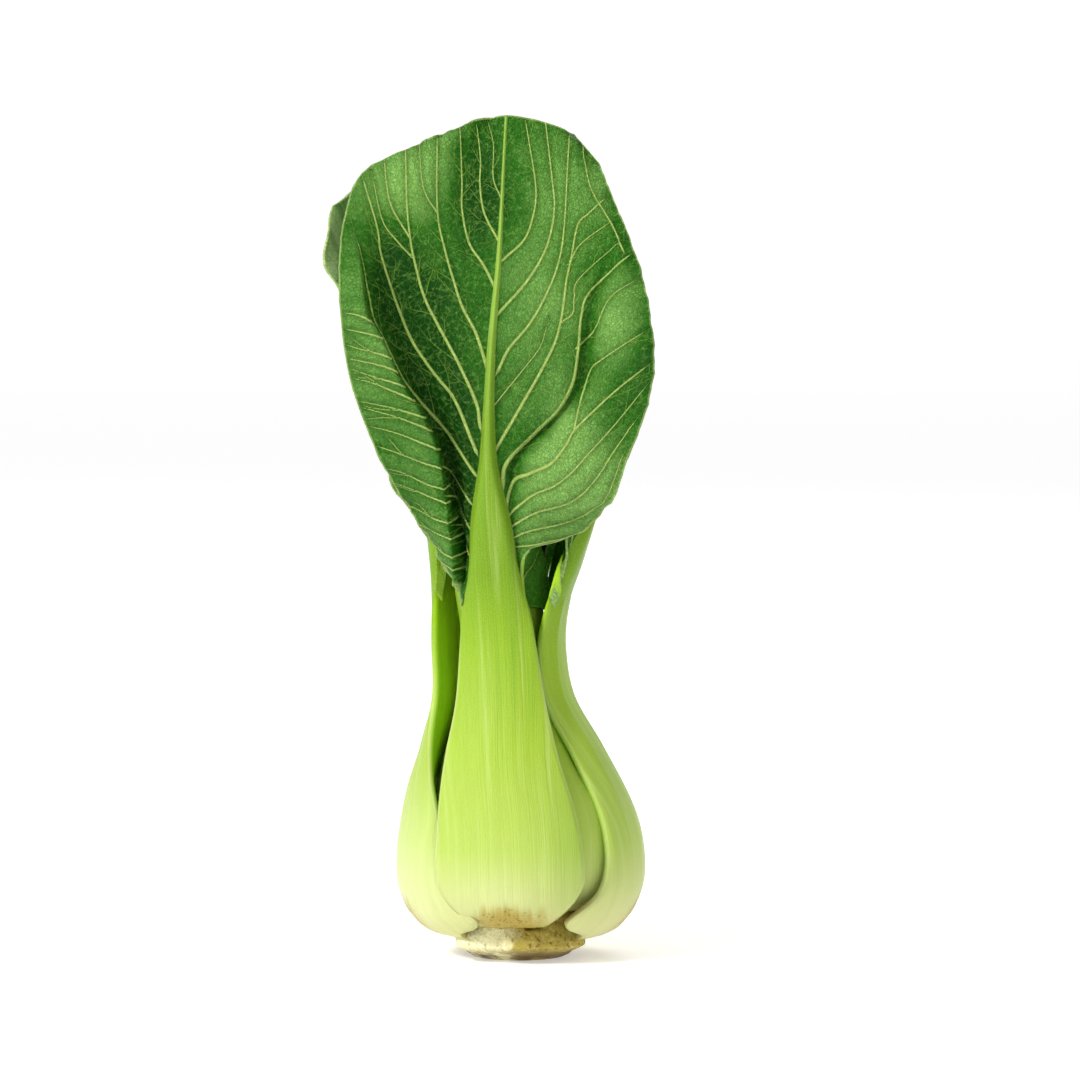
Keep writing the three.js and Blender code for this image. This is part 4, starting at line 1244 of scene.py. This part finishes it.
def build_stump(material):
    """A short rough root end: torn leaf bases round its sides, a flat cut below."""
    angle = np.linspace(0, 2 * math.pi, STUMP_COLUMNS, endpoint=False)[None, :]
    side = stump_rings(angle)
    shrink = np.linspace(1, 0, CUT_RINGS + 1)[1:-1][:, None, None]
    hollow = CUT_HOLLOW * (1 - shrink[..., 0] ** 3) * (0.6 + 0.4 * np.sin(7 * angle + 9 * shrink[..., 0]))
    cut = np.concatenate([(side[0][None] * shrink)[..., :2], hollow[..., None]], -1)
    grid = np.concatenate([cut[::-1], side])
    points = np.concatenate([grid.reshape(-1, 3), [[0, 0, CUT_HOLLOW], [0, 0, STUMP_TOP]]])
    ids = np.arange(grid.shape[0] * STUMP_COLUMNS).reshape(grid.shape[:2])
    faces = quads(np.concatenate([ids, ids[:, :1]], axis=1)).tolist()
    low, high = len(points) - 2, len(points) - 1
    for i in range(STUMP_COLUMNS):
        j = (i + 1) % STUMP_COLUMNS
        faces.append([low, int(ids[0, j]), int(ids[0, i])])
        faces.append([high, int(ids[-1, i]), int(ids[-1, j])])
    skin = mesh_object("stump_skin", points * MM, faces, material)
    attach(skin, "root")
    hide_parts("stump")


# Stage, lights and camera

PIXELS_PER_MM = 4.225
IMAGE_SIZE = 1080
BASE_PIXEL = (519, 957)
CAMERA_DISTANCE = 1.3
CAMERA_RISE = math.radians(4)
STAGE_HALF = 6
WALL_Y = 5
WALL_FOOT = -0.1
LIGHT_AIM = Vector((0, 0, 0.1))


def make_camera():
    middle = IMAGE_SIZE / 2
    view_width = IMAGE_SIZE / PIXELS_PER_MM * MM
    aim_x = (middle - BASE_PIXEL[0]) / PIXELS_PER_MM * MM
    aim_z = (BASE_PIXEL[1] - middle) / PIXELS_PER_MM * MM
    back = Vector((0, -math.cos(CAMERA_RISE), math.sin(CAMERA_RISE)))
    data = bpy.data.cameras.new("camera")
    data.sensor_fit = "HORIZONTAL"
    data.angle = 2 * math.atan(view_width / 2 / CAMERA_DISTANCE)
    data.clip_end = 20
    camera = add_object("camera", data)
    camera.location = Vector((aim_x, 0, aim_z)) + back * CAMERA_DISTANCE
    camera.rotation_euler = (-back).to_track_quat("-Z", "Y").to_euler()
    bpy.context.scene.camera = camera


def make_light(name, place, size, power):
    data = bpy.data.lights.new(name, "AREA")
    data.shape = "DISK"
    data.size = size
    data.energy = power
    light = add_object(name, data)
    light.location = place
    light.rotation_euler = (LIGHT_AIM - Vector(place)).to_track_quat("-Z", "Y").to_euler()


def make_sheet(name, corners, material):
    mesh_object(name, corners, [(0, 1, 2, 3)], material)


def make_stage():
    """A pale floor and a white backdrop, which are lit and also glow a little, and soft lights."""
    s, y = STAGE_HALF, WALL_Y
    floor_look = {
        "Base Color": (0.9, 0.9, 0.9), "Roughness": 1, "Specular IOR Level": 0,
        "Emission Color": (1, 1, 1), "Emission Strength": 0.38,
    }
    wall_look = {"Base Color": (0, 0, 0), "Emission Color": (1, 1, 1), "Emission Strength": 1}
    floor_corners = [(-s, -s, 0), (s, -s, 0), (s, s, 0), (-s, s, 0)]
    wall_corners = [(-s, y, WALL_FOOT), (s, y, WALL_FOOT), (s, y, y), (-s, y, y)]
    make_sheet("floor", floor_corners, Tree("pale_floor").surface(floor_look))
    make_sheet("backdrop", wall_corners, Tree("backdrop_white").surface(wall_look))
    world = bpy.data.worlds.new("studio")
    world.use_nodes = True
    world.node_tree.nodes["Background"].inputs["Color"].default_value = (1, 1, 1, 1)
    world.node_tree.nodes["Background"].inputs["Strength"].default_value = 0.5
    bpy.context.scene.world = world
    bpy.context.scene.view_settings.view_transform = "Standard"
    make_light("key", (-0.95, -0.95, 1), 0.35, 21)
    make_light("fill", (0.9, -0.9, 0.5), 0.7, 1)
    make_light("back_light", (0.3, 0.9, 1), 0.6, 4)


make_camera()
make_stage()
outer_skin = leaf_material("leaf_skin", *OUTER_GREENS)
inner_skin = leaf_material("inner_leaf_skin", *INNER_GREENS)
for leaf in LEAVES:
    build_leaf(leaf, outer_skin if leaf["is_outer"] else inner_skin)
build_stump(stump_material())
